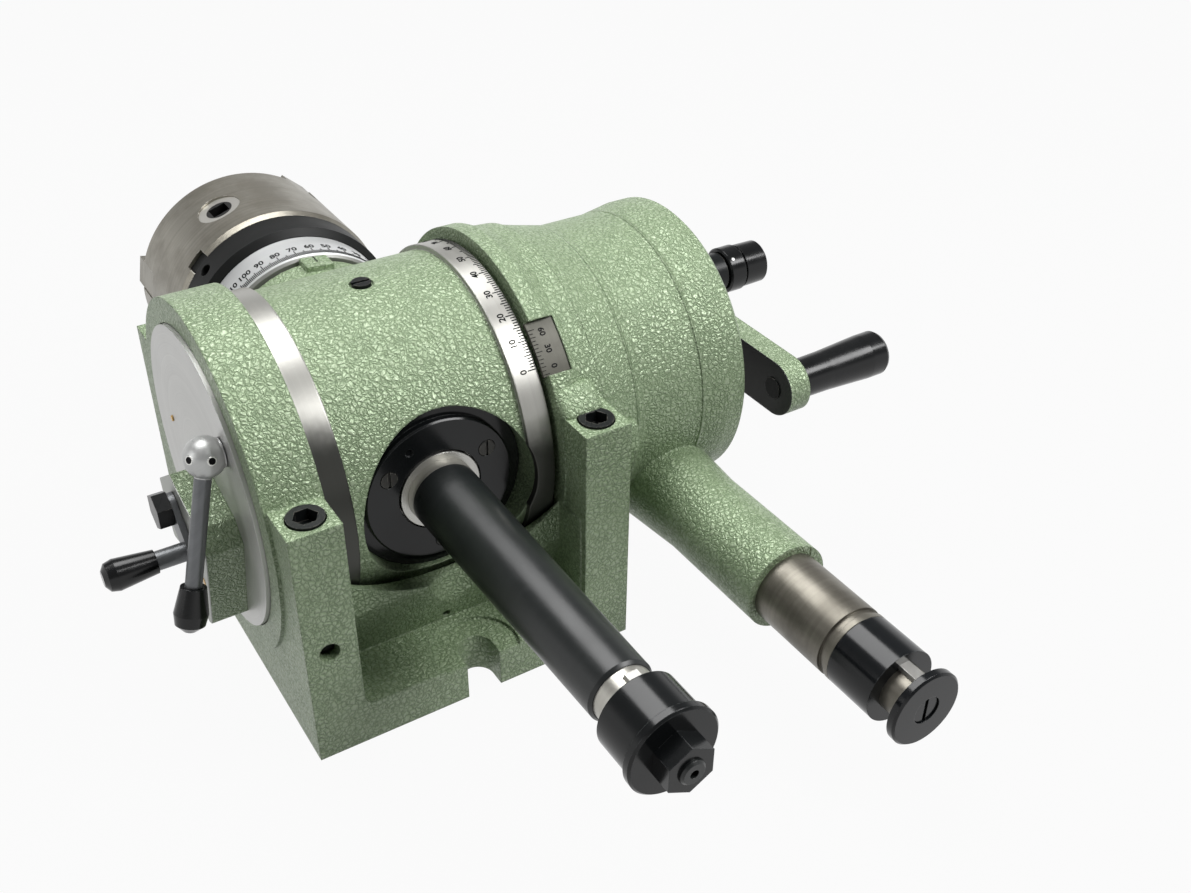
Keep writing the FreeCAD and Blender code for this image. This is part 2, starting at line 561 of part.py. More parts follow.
flange_blank = turned([("rear_seat", "end_ring_radius + 8"), ("rear_seat", "rear_bore_radius - 0.3"),
                       ("rear_seat + 2", "rear_bore_radius - 0.3"), ("rear_seat + 2", "flange_radius"),
                       (f"{flange_rear} - 0.8", "flange_radius"), (flange_rear, "flange_radius - 0.8"),
                       (flange_rear, "end_ring_radius + 1"), ("rear_seat + 2", "end_ring_radius + 1"),
                       ("rear_seat + 2", "end_ring_radius + 8")], AXIS, "-Y")
oil_hole = rod("2", "20", polar_y("flange_radius - 8.7", -29, "1 - rear_seat - flange_thickness"), "-Y")
node("rear_flange", less(flange_blank, *ring_of(screw_seat_at, 3, SCREW_START), oil_hole))
node("flange_screws", joined(*ring_of(flange_screw, 3, SCREW_START)))

# Spindle with its worm wheel
bore_front = "chuck_bore_radius - 1"
node("spindle", turned([("0 - ring_rear + 8", bore_front), ("0 - ring_rear + 8", "spindle_radius"),
                        ("plate_front - 8", "spindle_radius"), ("plate_front - 8", bore_front)], AXIS, "Y"))


def tooth_ring(teeth, module, width, bore, thickness_share):
    """A gear with straight-sided teeth, its axis along Y and its middle at the origin."""
    pitch = module * teeth / 2
    root = pitch - 1.2 * module
    tip = pitch + 0.9 * module
    corners = []
    for index in range(teeth):
        middle = 2 * math.pi * index / teeth
        share = thickness_share * math.pi / teeth
        for radius, turn in ((root, -share * 1.25), (tip, -share * 0.6), (tip, share * 0.6), (root, share * 1.25)):
            corners.append(Vector(radius * math.sin(middle + turn), -width / 2, radius * math.cos(middle + turn)))
    face = Part.Face(Part.makePolygon(corners + corners[:1]))
    gear = face.extrude(Vector(0, width, 0))
    hole = Part.makeCylinder(bore, width + 2, Vector(0, -width / 2 - 1, 0), Vector(0, 1, 0))
    return gear.cut(hole)


wheel = tooth_ring(int(number("wheel_teeth")), number("gear_module"), number("wheel_face"),
                   number("spindle_radius"), 0.36)
node("worm_wheel", put(solid("wheel", wheel), AXIS))


def worm_shape():
    """Single-start worm: a threaded core between two plain shaft ends."""
    module = number("gear_module")
    pitch = math.pi * module
    radius = number("worm_radius")
    half = number("worm_half")
    root = radius - 1.2 * module
    tip = radius + 0.9 * module
    wide = 0.5 * pitch - 0.9 - number("worm_backlash") + 1.0
    narrow = wide - 1.2
    helix = Part.makeHelix(pitch, 2 * half - pitch, root)
    flanks = [Vector(root - 0.4, 0, -wide / 2), Vector(tip, 0, -narrow / 2),
              Vector(tip, 0, narrow / 2), Vector(root - 0.4, 0, wide / 2)]
    profile = Part.makePolygon(flanks + flanks[:1])
    thread = Part.Wire(helix).makePipeShell([profile], True, True)
    core = Part.makeCylinder(root, 2 * half)
    thread.translate(Vector(0, 0, pitch / 2))
    body = core.fuse(thread)
    end = Part.makeCylinder(number("worm_shaft_radius"), number("blank_left + blank_thickness") + half)
    tail = Part.makeCylinder(number("worm_shaft_radius"), 13, Vector(0, 0, -13))
    return body.fuse([end, tail])


node("worm", put(solid("worm", worm_shape()), ("0 - worm_half", 0, worm_z), STAND_UP))
node("worm_gear", less(rod(blank_radius, "blank_thickness", ("blank_left", 0, worm_z)),
                       rod("worm_shaft_radius", 20, ("blank_left - 5", 0, worm_z))))

# Direct index dial, back plate and chuck; the jaws sit half way between the pinions
PINION_START = -18.5
JAW_START = PINION_START - 60
LUG_ANGLE = -45


node("index_dial", turned([("dial_rear", "spindle_radius"), ("dial_rear", "dial_radius - 2"),
                           ("dial_rear + 2", "dial_radius"), ("dial_front", "dial_radius"),
                           ("dial_front", "spindle_radius")], AXIS, "Y"))
plate_blank = turned([("dial_front", "spindle_radius"), ("dial_front", "plate_radius - 4"),
                      ("dial_front + 3", "plate_radius"), ("plate_front", "plate_radius"),
                      ("plate_front", "spindle_radius + 8"), ("plate_front - 8", "spindle_radius + 8"),
                      ("plate_front - 8", "spindle_radius")], AXIS, "Y")
plate_lug = radial_block(LUG_ANGLE, "lug_width - 2 * jaw_gap", "lug_seat + jaw_gap",
                         "plate_radius - lug_seat - 0.6", "plate_front - 4", "plate_front + lug_run - jaw_gap")
spanner_hole = bind(doc.addObject("Part::Cylinder", fresh("rod")), Radius="spanner_hole_radius", Height=20)
radial(spanner_hole, LUG_ANGLE, "plate_radius - 9", "plate_front - 7.5")
node("chuck_back_plate", less(joined(plate_blank, plate_lug), spanner_hole))
chuck_blank = turned([("plate_front", "chuck_bore_radius"), ("plate_front", "plate_radius"),
                      ("plate_front + chuck_bevel", "chuck_radius"),
                      ("chuck_front - 2", "chuck_radius"), ("chuck_front", "chuck_radius - 2"),
                      ("chuck_front", "chuck_bore_radius")], AXIS, "Y")
scroll_room = turned([("plate_front - 1", "scroll_bore_radius"), ("plate_front - 1", "scroll_radius + 0.3"),
                      ("scroll_front + 0.3", "scroll_radius + 0.3"),
                      ("scroll_front + 0.3", "scroll_bore_radius")], AXIS, "Y")


def jaw_slot(angle):
    """Guide for one jaw: a slot with a wider foot behind."""
    wide = doc.addObject("Part::Box", fresh("slot"))
    bind(wide, Length="jaw_width + 2 * jaw_gap", Width="chuck_front - scroll_front + 5", Height="chuck_radius + 5")
    turn = Rotation(Vector(0, 1, 0), angle)
    offset = turn.multVec(Vector(1, 0, 0))
    put(wide, (f"0 - (jaw_width / 2 + jaw_gap) * ({offset.x:.5f})", "scroll_front",
               f"axis_height - (jaw_width / 2 + jaw_gap) * ({offset.z:.5f})"), turn)
    return wide


def pinion_room(angle):
    hole = bind(doc.addObject("Part::Cylinder", fresh("rod")), Radius="pinion_radius + running_gap", Height=30)
    return radial(hole, angle, "scroll_radius + 1.5", "pinion_y")


node("chuck_body", less(chuck_blank, scroll_room, *ring_of(jaw_slot, 3, JAW_START),
                        *ring_of(pinion_room, 3, PINION_START),
                        radial_block(LUG_ANGLE, "lug_width", "lug_seat", "20", "plate_front - 5",
                                     "plate_front + lug_run")))
node("chuck_scroll", turned([("scroll_rear", "scroll_bore_radius + 0.3"), ("scroll_rear", "scroll_radius"),
                             ("scroll_front - 0.2", "scroll_radius"),
                             ("scroll_front - 0.2", "scroll_bore_radius + 0.3")], AXIS, "Y"))


def pinion(angle):
    shaft = bind(doc.addObject("Part::Cylinder", fresh("rod")), Radius="pinion_radius",
                 Height="chuck_radius - scroll_radius - 3.5")
    radial(shaft, angle, "scroll_radius + 2", "pinion_y")
    socket = doc.addObject("Part::Box", fresh("socket"))
    bind(socket, Length="pinion_key", Width="pinion_key", Height="pinion_depth + 2")
    turn = Rotation(Vector(0, 1, 0), angle)
    side = turn.multVec(Vector(1, 0, 0))
    out = "chuck_radius - 1.5 - pinion_depth"
    at = polar_y(out, angle, "pinion_y - pinion_key / 2")
    put(socket, (f"{at[0]} - pinion_key / 2 * ({side.x:.5f})", at[1],
                 f"{at[2]} - pinion_key / 2 * ({side.z:.5f})"), turn)
    return less(shaft, socket)


def jaw(angle):
    """Stepped jaw: a foot in the slot and two steps in front of the face."""
    side = number("jaw_width") / 2
    inner = number("jaw_inner")
    flat = inner - 4
    steps = [(flat, number("scroll_front + 0.3")), (inner + number("jaw_height"), number("scroll_front + 0.3")),
             (inner + number("jaw_height"), number("chuck_front + 8")),
             (inner + number("jaw_foot"), number("chuck_front + 8")),
             (inner + number("jaw_foot"), number("chuck_front + 15")),
             (inner + 10, number("chuck_front + 15")), (inner + 10, number("chuck_front + jaw_rise")),
             (flat, number("chuck_front + jaw_rise"))]
    corners = [Vector(-side, along, radius) for radius, along in steps]
    shape = Part.Face(Part.makePolygon(corners + corners[:1])).extrude(Vector(2 * side, 0, 0))
    for sign in (-1, 1):
        wedge = Part.makePolygon([Vector(0, 0, flat), Vector(sign * 40, 0, flat + 40 / math.sqrt(3)),
                                  Vector(sign * 40, 0, flat - 20), Vector(0, 0, flat - 20),
                                  Vector(0, 0, flat)])
        shape = shape.cut(Part.Face(wedge).extrude(Vector(0, 400, 0)))
    shape = shape.cut(Part.makeCylinder(inner, 400, Vector(0, 0, 0), Vector(0, 1, 0)))
    return put(solid("jaw", shape), AXIS, Rotation(Vector(0, 1, 0), angle))


for place in range(3):
    node(f"pinion_{place + 1}", pinion(PINION_START + 120 * place))
for place in range(3):
    node(f"jaw_{place + 1}", jaw(JAW_START + 120 * place))

# Rear end of the spindle: end ring, mandrel, collar, washer and nut
node("spindle_end_ring", turned([("ring_rear - 8", "mandrel_root_radius"), ("ring_rear - 8", "end_ring_radius"),
                                 ("ring_rear", "end_ring_radius"), ("ring_rear", "mandrel_root_radius")],
                                AXIS, "-Y"))
mandrel_blank = turned([("30", "0"), ("30", "14"), ("ring_rear - 7.9", "mandrel_root_radius - 0.8"),
                        ("ring_rear - 7.9", "mandrel_root_radius"), ("ring_rear + 4", "mandrel_root_radius"),
                        ("mandrel_end - 1.5", "mandrel_radius"), ("mandrel_end", "mandrel_radius - 1.2"),
                        ("mandrel_end", "shoulder_radius"),
                        ("collar_end", "shoulder_radius"), ("collar_end", "stud_radius"),
                        ("stud_end - 1", "stud_radius"), ("stud_end", "stud_radius - 1"),
                        ("stud_end", "centre_hole"), ("stud_end - 4", "centre_hole"), ("stud_end - 5.5", "0")],
                       AXIS, "-Y")
key_top = "axis_height + shoulder_radius + 2.5"
key_groove = block(("0 - bar_key / 2", "0 - collar_end", f"{key_top} - 6"),
                   ("bar_key / 2", "0 - mandrel_end - 4", f"{key_top} + 20"))
node("mandrel", less(mandrel_blank, key_groove))
node("mandrel_key", block(("0 - bar_key / 2 + 0.02", "0 - collar_end + 0.5", f"{key_top} - 6"),
                          ("bar_key / 2 - 0.02", "0 - mandrel_end - 5", key_top)))
collar_blank = turned([("collar_start", "shoulder_radius"), ("collar_start", "collar_radius"),
                       ("collar_end - 1", "collar_radius"), ("collar_end", "collar_radius - 1"),
                       ("collar_end", "shoulder_radius")], AXIS, "-Y")
node("mandrel_collar", less(collar_blank, block(("0 - bar_key / 2", "0 - collar_end - 1", "axis_height"),
                                                ("bar_key / 2", "0 - collar_start + 1", f"{key_top} + 0.1"))))
node("mandrel_washer", turned([("collar_end", "stud_radius"), ("collar_end", "washer_radius"),
                               ("washer_end - 1", "washer_radius"), ("washer_end", "washer_radius - 1"),
                               ("washer_end", "stud_radius")], AXIS, "-Y"))
node("mandrel_nut", less(prism(6, "nut_width * 0.8", "nut_end - washer_end", ("0", "0 - washer_end", "axis_height"), "-Y"),
                         rod("stud_radius", 30, ("0", "0 - washer_end + 5", "axis_height"), "-Y")))

# End housing with its side tube
bell = turned([("housing_start", "0"), ("housing_start", "housing_flange_radius"),
               ("(housing_start + flange_end) / 2", "housing_flange_radius - 3.4"),
               ("flange_end", "housing_flange_radius - 6.4"), ("flange_end", "bell_radius"),
               ("bell_end - 30", "bell_radius"), ("bell_end - 12", "bell_flare"),
               ("bell_end - 2", "bell_flare"), ("bell_end", "bell_flare - 2"),
               ("bell_end", "index_radius + 1.2"), ("bell_end - 8", "index_radius + 1.2"), ("bell_end - 8", "0")])
centre_boss = rod("sleeve_radius + 9", "bell_end - 8 - housing_start", ("housing_start", 0, "axis_height"))
side_tube = rod("tube_radius", "tube_end", ("shaft_x", 0, "shaft_z"), "-Y")
tube_root = cone("tube_radius + 8", "tube_radius", "100", ("shaft_x", 0, "shaft_z"), "-Y")
cavity = rod("bell_radius - bell_wall", "cavity_end - cavity_start", ("cavity_start", 0, "axis_height"))
sleeve_bore = rod("sleeve_radius + running_gap", "bell_end + 10 - flange_end",
                  ("flange_end", 0, "axis_height"))
crank_bore = rod("crank_shaft_radius + running_gap", 60, ("housing_start - 5", 0, "axis_height"))
side_bore = rod("side_shaft_radius + running_gap", "tube_end + 40", ("shaft_x", 25, "shaft_z"), "-Y")
side_gear_room = rod("shaft_drop / 2 + 1.6", "20", ("shaft_x", 10, "shaft_z"), "-Y")
node("end_housing", less(joined(bell, centre_boss, side_tube, tube_root), cavity, sleeve_bore,
                         crank_bore, side_bore, side_gear_room))

# Side shaft with its gear, bush, collar, key, washer and screw
cross_radius = "shaft_drop / 2 - blank_gap"


def side_turned(outline):
    return turned(outline, ("shaft_x", 0, "shaft_z"), "-Y")


shaft_blank = side_turned([("0 - 24", "0"), ("0 - 24", "side_shaft_radius"), ("0 - 8", "side_shaft_radius"),
                           ("0 - 8", cross_radius), ("8", cross_radius), ("8", "side_shaft_radius"),
                           ("side_washer_start", "side_shaft_radius"), ("side_washer_start", "0")])
side_key_top = "shaft_z + side_shaft_radius + 2.5"
side_groove = block(("shaft_x - bar_key / 2", "0 - side_washer_start - 1", f"{side_key_top} - 6"),
                    ("shaft_x + bar_key / 2", "0 - bush_end - 2", f"{side_key_top} + 9"))
end_hole = rod("4", "18", ("shaft_x", "0 - side_washer_start - 1", "shaft_z"), "Y")
node("side_shaft", less(shaft_blank, side_groove, end_hole))
node("side_bush", side_turned([("tube_end", "side_shaft_radius + running_gap"), ("tube_end", "bush_radius"),
                               ("bush_end - bush_groove - 3", "bush_radius"),
                               ("bush_end - bush_groove - 3", "bush_radius - 1.5"),
                               ("bush_end - 3", "bush_radius - 1.5"), ("bush_end - 3", "bush_radius"),
                               ("bush_end", "bush_radius"), ("bush_end", "side_shaft_radius + running_gap")]))
side_keyway = block(("shaft_x - bar_key / 2", "0 - side_collar_end - 1", "shaft_z"),
                    ("shaft_x + bar_key / 2", "0 - bush_end", f"{side_key_top} + 0.1"))
node("side_collar", less(side_turned([("bush_end + seat_gap", "side_shaft_radius"),
                                      ("bush_end + seat_gap", "bush_radius"),
                                      ("side_collar_end", "bush_radius"),
                                      ("side_collar_end", "side_shaft_radius")]), side_keyway))
node("side_key", block(("shaft_x - bar_key / 2 + 0.02", "0 - side_washer_start", f"{side_key_top} - 6"),
                       ("shaft_x + bar_key / 2 - 0.02", "0 - bush_end - 3", side_key_top)))
node("side_washer", side_turned([("side_washer_start", "4"), ("side_washer_start", "side_washer_radius"),
                                 ("side_washer_end - 1", "side_washer_radius"),
                                 ("side_washer_end", "side_washer_radius - 1"),
                                 ("side_washer_end", "side_screw_radius + seat_gap"),
                                 ("side_washer_start + 1", "side_screw_radius + seat_gap"),
                                 ("side_washer_start + 1", "4")]))
screw_seat = "0 - side_washer_start - 1"
side_screw = joined(rod("3.95", "16", ("shaft_x", screw_seat, "shaft_z"), "Y"),
                    rod("side_screw_radius", "side_screw_head", ("shaft_x", screw_seat, "shaft_z"), "-Y"))
node("side_screw", less(side_screw, block(("shaft_x - 1", f"{screw_seat} - side_screw_head", "shaft_z - 10"),
                                          ("shaft_x + 1", f"{screw_seat} - side_screw_head + 1.4",
                                           "shaft_z + 10"))))

# Index plate on its sleeve, with the sector arms
plate_face = "index_start + index_thickness"
node("plate_sleeve", turned([("flange_end + 1", "crank_shaft_radius + running_gap"),
                             ("flange_end + 1", "sleeve_radius"),
                             ("shaft_x - 8", "sleeve_radius"), ("shaft_x - 8", cross_radius),
                             ("shaft_x + 8", cross_radius), ("shaft_x + 8", "sleeve_radius"),
                             (f"{plate_face} + sector_thickness * 2 + 1.5", "sleeve_radius"),
                             (f"{plate_face} + sector_thickness * 2 + 1.5", "crank_shaft_radius + running_gap")]))
HOLE_CIRCLES = ((24, -12), (30, 0), (38, 14))


def index_plate():
    """Plate with circles of blind indexing holes, made through."""
    start = number("index_start")
    depth = number("index_thickness")
    along = Vector(1, 0, 0)
    disc = Part.makeCylinder(number("index_radius"), depth, Vector(start, 0, 0), along)
    holes = [Part.makeCylinder(number("sleeve_radius"), depth + 2, Vector(start - 1, 0, 0), along)]
    for count, shift in HOLE_CIRCLES:
        radius = number("plunger_y") + shift
        for index in range(count):
            angle = 2 * math.pi * index / count
            spot = Vector(start + 2, radius * math.cos(angle), radius * math.sin(angle))
            holes.append(Part.makeCylinder(number("index_hole_radius"), depth, spot, along))
    return disc.cut(holes)


node("index_plate", put(solid("plate", index_plate()), AXIS))


def plate_screw(angle):
    return rod("2.5", "1.4", polar_x("sleeve_radius + 8.5", angle, plate_face))


def sector_arm(level, angle):
    """A ring on the sleeve with one bevelled arm."""
    start = f"{plate_face} + {level}"
    hub = rod("sleeve_radius + 5", "sector_thickness", (start, 0, "axis_height"))
    arm = doc.addObject("Part::Box", fresh("arm"))
    bind(arm, Length="sector_thickness", Width="sector_width", Height="sector_length")
    put(arm, (start, 0, "axis_height"), Rotation(Vector(1, 0, 0), angle))
    return less(joined(hub, arm), rod("sleeve_radius + seat_gap", 20, (f"{start} - 5", 0, "axis_height")))


node("sector_arm_a", sector_arm("0.2", 60))
node("sector_arm_b", sector_arm("sector_thickness + 0.5", 0))

# Crank shaft, crank arm, handle and plunger
node("crank_shaft", turned([("blank_left", "0"), ("blank_left", blank_radius),
                            ("blank_left + blank_thickness", blank_radius),
                            ("blank_left + blank_thickness", "crank_shaft_radius"),
                            ("arm_end", "crank_shaft_radius"), ("arm_end", "6"),
                            ("crank_nut_end + 3", "6"), ("crank_nut_end + 3", "0")]))


def arm_plate(inset, start, end):
    radius = f"arm_half_width - {inset}"
    span = f"({end}) - ({start})"
    return joined(rod(radius, span, (start, "0 - handle_y", "axis_height")),
                  rod(radius, span, (start, "plunger_y", "axis_height")),
                  block((start, "0 - handle_y", f"axis_height - ({radius})"),
                        (end, "plunger_y", f"axis_height + ({radius})")))


node("crank_arm", less(arm_plate("0", "arm_start", "arm_end"),
                       rod("crank_shaft_radius", 40, ("arm_start - 5", 0, "axis_height")),
                       rod("handle_stud_radius", 40, ("arm_start - 5", "0 - handle_y", "axis_height")),
                       rod("barrel_radius - 2", 40, ("arm_start - 5", "plunger_y", "axis_height"))))
node("crank_nut", less(prism(6, "crank_nut_radius * 1.6", "crank_nut_end - arm_end", ("arm_end", 0, "axis_height")),
                       rod("6", 30, ("arm_end - 5", 0, "axis_height"))))
handle_at = ("0", "0 - handle_y", "axis_height")
node("handle_stud", turned([("arm_start - 0.6", "0"), ("arm_start - 0.6", "handle_stud_radius"),
                            ("arm_end", "handle_stud_radius"), ("arm_end", "handle_root_radius - 2"),
                            ("handle_start - seat_gap", "handle_root_radius - 2"),
                            ("handle_start - seat_gap", "handle_stud_radius - 1"),
                            ("handle_end - 6", "handle_stud_radius - 1"), ("handle_end - 6", "0")], handle_at))
node("handle_grip", turned([("handle_start", "handle_stud_radius - 1 + running_gap"),
                            ("handle_start", "handle_root_radius - 1"),
                            ("handle_start + 2", "handle_root_radius"),
                            ("handle_start + handle_length / 3", "handle_root_radius + 0.3"),
                            ("handle_end - 12", "handle_tip_radius"), ("handle_end - 2.5", "handle_tip_radius"),
                            ("handle_end - 0.8", "handle_tip_radius - 1"), ("handle_end", "handle_tip_radius - 3"),
                            ("handle_end", "0"), ("handle_end - 5", "0"),
                            ("handle_end - 5", "handle_stud_radius - 1 + running_gap")], handle_at))
plunger_at = ("0", "plunger_y", "axis_height")
node("plunger_barrel", turned([("arm_start - 1", "pin_radius + running_gap"), ("arm_start - 1", "barrel_radius - 2"),
                               ("arm_end", "barrel_radius - 2"), ("arm_end", "barrel_radius"),
                               ("barrel_end", "barrel_radius"), ("barrel_end", "pin_radius + running_gap"),
                               ("barrel_end - 12", "pin_radius + running_gap"),
                               ("barrel_end - 12", "pin_radius + 3.5"), ("arm_end", "pin_radius + 3.5"),
                               ("arm_end", "pin_radius + running_gap")], plunger_at))
node("plunger_pin", turned([("pin_tip", "0"), ("pin_tip", "pin_radius - 1.4"), ("pin_tip + 4", "pin_radius - 1.2"),
                            ("pin_tip + 5", "pin_radius"), ("arm_end + 4", "pin_radius"),
                            ("arm_end + 4", "pin_radius + 3"), ("arm_end + 8", "pin_radius + 3"),
                            ("arm_end + 8", "pin_radius"), ("knob_end - 6", "pin_radius"),
                            ("knob_end - 6", "0")], plunger_at))
node("plunger_knob", turned([("knob_start", "pin_radius"), ("knob_start", "knob_radius - 1"),
                             ("knob_start + 1", "knob_radius"), ("knob_end - 20", "knob_radius"),
                             ("knob_end - 20", "knob_radius - 2"), ("knob_end - 18", "knob_radius - 2"),
                             ("knob_end - 18", "knob_radius - 0.9"), ("knob_end - 3", "knob_radius - 1.2"),
                             ("knob_end", "knob_radius - 5"), ("knob_end", "0"), ("knob_end - 6", "0"),
                             ("knob_end - 6", "pin_radius")], plunger_at))

doc.recompute()

for thing in doc.Objects:
    if "Invalid" in thing.State or "Error" in thing.State:
        raise RuntimeError(f"{thing.Label} failed: {thing.State}")
os.makedirs("parts", exist_ok=True)
for thing in nodes:
    shape = thing.Shape
    if shape.isNull() or not shape.isValid() or shape.Volume <= 0:
        raise RuntimeError(f"{thing.Label} has no sound shape")
for thing in nodes:
    thing.Shape.exportStep(f"parts/{thing.Label}.step")
    print(thing.Label, len(thing.Shape.Solids), round(thing.Shape.Volume, 1))
print(len(nodes), "nodes")
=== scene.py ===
import math
import bpy
import bmesh
from mathutils import Matrix, Vector


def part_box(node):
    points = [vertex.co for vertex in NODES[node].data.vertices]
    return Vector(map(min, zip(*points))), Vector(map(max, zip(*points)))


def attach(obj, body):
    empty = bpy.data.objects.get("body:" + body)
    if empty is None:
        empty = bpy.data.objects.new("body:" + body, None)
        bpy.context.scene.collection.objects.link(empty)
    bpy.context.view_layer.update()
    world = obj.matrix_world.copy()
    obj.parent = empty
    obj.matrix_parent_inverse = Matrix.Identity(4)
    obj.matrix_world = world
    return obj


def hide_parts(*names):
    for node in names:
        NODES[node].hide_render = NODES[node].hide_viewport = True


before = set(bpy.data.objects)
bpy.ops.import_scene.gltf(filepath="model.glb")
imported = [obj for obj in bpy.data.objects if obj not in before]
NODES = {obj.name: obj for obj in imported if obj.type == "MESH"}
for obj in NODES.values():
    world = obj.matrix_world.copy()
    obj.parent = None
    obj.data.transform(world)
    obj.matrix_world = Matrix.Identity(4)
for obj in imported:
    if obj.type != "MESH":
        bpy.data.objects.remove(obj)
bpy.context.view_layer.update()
scene = bpy.context.scene

# Places and sizes on the part, in metres
AXIS_Z = 0.100                          # height of the spindle and of the tilt axis
SIDE_SHAFT = (0.1346, 0.0524)           # x and z of the side shaft
BALL = (-0.1, -0.042, AXIS_Z + 0.04)    # middle of the lock lever's ball
BALL_REACH = 0.0102
PINION_Y = 0.166
KEY_SOCKET_REACH = 0.0077               # radius of a key socket's countersink
JAW_REACH = 0.0612                      # where a jaw is ground off, from the spindle's line
FIRST_PINION, FIRST_JAW, THIRD_TURN = -18.5, -78.5, 120     # degrees from the top
PARTING_LINES = (0.0822, 0.1068, 0.1485)                    # x on the housing
LEFT_BAND_X, RIGHT_BAND_X, BAND_REACH = -0.0489, 0.0411, 0.0795
FACE_MARGIN = 0.0004                    # how far a mask of a flat face reaches past it
DRUM_INK, DIAL_INK, VERNIER_INK = 0.08308, 0.05628, 0.0859  # radii on which the marks lie
INK_LIFT = 0.00001
INK_THICKNESS = 0.00006

# Look of the enamel
PAINT_METALLIC = 0.24
RELIEF_STRENGTH, RELIEF_DEPTH = 0.75, 0.00072


# ---------------------------------------------------------------- shader helpers

def paint(red, green, blue):
    """An sRGB colour, 0 to 255, as the linear colour that a shader takes."""
    return tuple((c / 255 / 12.92) if c / 255 <= 0.04045 else ((c / 255 + 0.055) / 1.055) ** 2.4
                 for c in (red, green, blue)) + (1.0,)


def feed(tree, socket, value):
    if isinstance(value, bpy.types.NodeSocket):
        tree.links.new(value, socket)
    else:
        socket.default_value = value


def calc(tree, operation, first, second=None, clamp=False):
    made = tree.nodes.new("ShaderNodeMath")
    made.operation = operation
    made.use_clamp = clamp
    for slot_index, value in enumerate((first, second)):
        if value is not None:
            feed(tree, made.inputs[slot_index], value)
    return made.outputs[0]


def times(tree, first, second):
    return calc(tree, "MULTIPLY", first, second)


def plus(tree, first, second, third=None):
    total = calc(tree, "ADD", first, second)
    return total if third is None else calc(tree, "ADD", total, third)


def axes_of(tree, vector):
    """The x, y and z of a vector."""
    made = tree.nodes.new("ShaderNodeSeparateXYZ")
    feed(tree, made.inputs[0], vector)
    return made.outputs


def distance_of(tree, first, second):
    """Distance from a line, out of the two coordinates across it."""
    return calc(tree, "SQRT", plus(tree, calc(tree, "POWER", first, 2.0), calc(tree, "POWER", second, 2.0)))


def vector_calc(tree, operation, first, second):
    made = tree.nodes.new("ShaderNodeVectorMath")
    made.operation = operation
    feed(tree, made.inputs[0], first)
    feed(tree, made.inputs[3 if operation == "SCALE" else 1], second)
    return made.outputs[1 if operation == "LENGTH" else 0]


def ramp_between(tree, value, low, high, start=0.0, end=1.0):
    made = tree.nodes.new("ShaderNodeMapRange")
    made.interpolation_type = "SMOOTHSTEP"
    feed(tree, made.inputs["Value"], value)
    for name, number in (("From Min", low), ("From Max", high), ("To Min", start), ("To Max", end)):
        made.inputs[name].default_value = number
    return made.outputs["Result"]


def mixed(tree, amount, first, second):
    made = tree.nodes.new("ShaderNodeMix")
    made.data_type = "RGBA"
    feed(tree, made.inputs["Factor"], amount)
    feed(tree, made.inputs[6], first)
    feed(tree, made.inputs[7], second)
    return made.outputs[2]


def noise(tree, vector, scale, detail, roughness, one_line=False):
    made = tree.nodes.new("ShaderNodeTexNoise")
    if one_line:
        made.noise_dimensions = "1D"
        feed(tree, made.inputs["W"], vector)
    else:
        feed(tree, made.inputs["Vector"], vector)
    feed(tree, made.inputs["Scale"], scale)
    made.inputs["Detail"].default_value = detail
    made.inputs["Roughness"].default_value = roughness
    return made


def new_group(name, inputs, outputs):
    tree = bpy.data.node_groups.new(name, "ShaderNodeTree")
    for label, kind, value in inputs:
        socket = tree.interface.new_socket(label, in_out="INPUT", socket_type="NodeSocket" + kind)
        if value is not None:
            socket.default_value = value
    for label, kind in outputs:
        tree.interface.new_socket(label, in_out="OUTPUT", socket_type="NodeSocket" + kind)
    return tree, tree.nodes.new("NodeGroupInput").outputs, tree.nodes.new("NodeGroupOutput").inputs


def use_group(tree, group, **values):
    made = tree.nodes.new("ShaderNodeGroup")
    made.node_tree = group
    for name, value in values.items():
        feed(tree, made.inputs[name.replace("_", " ")], value)
    return made.outputs


# ---------------------------------------------------------------- shared effects

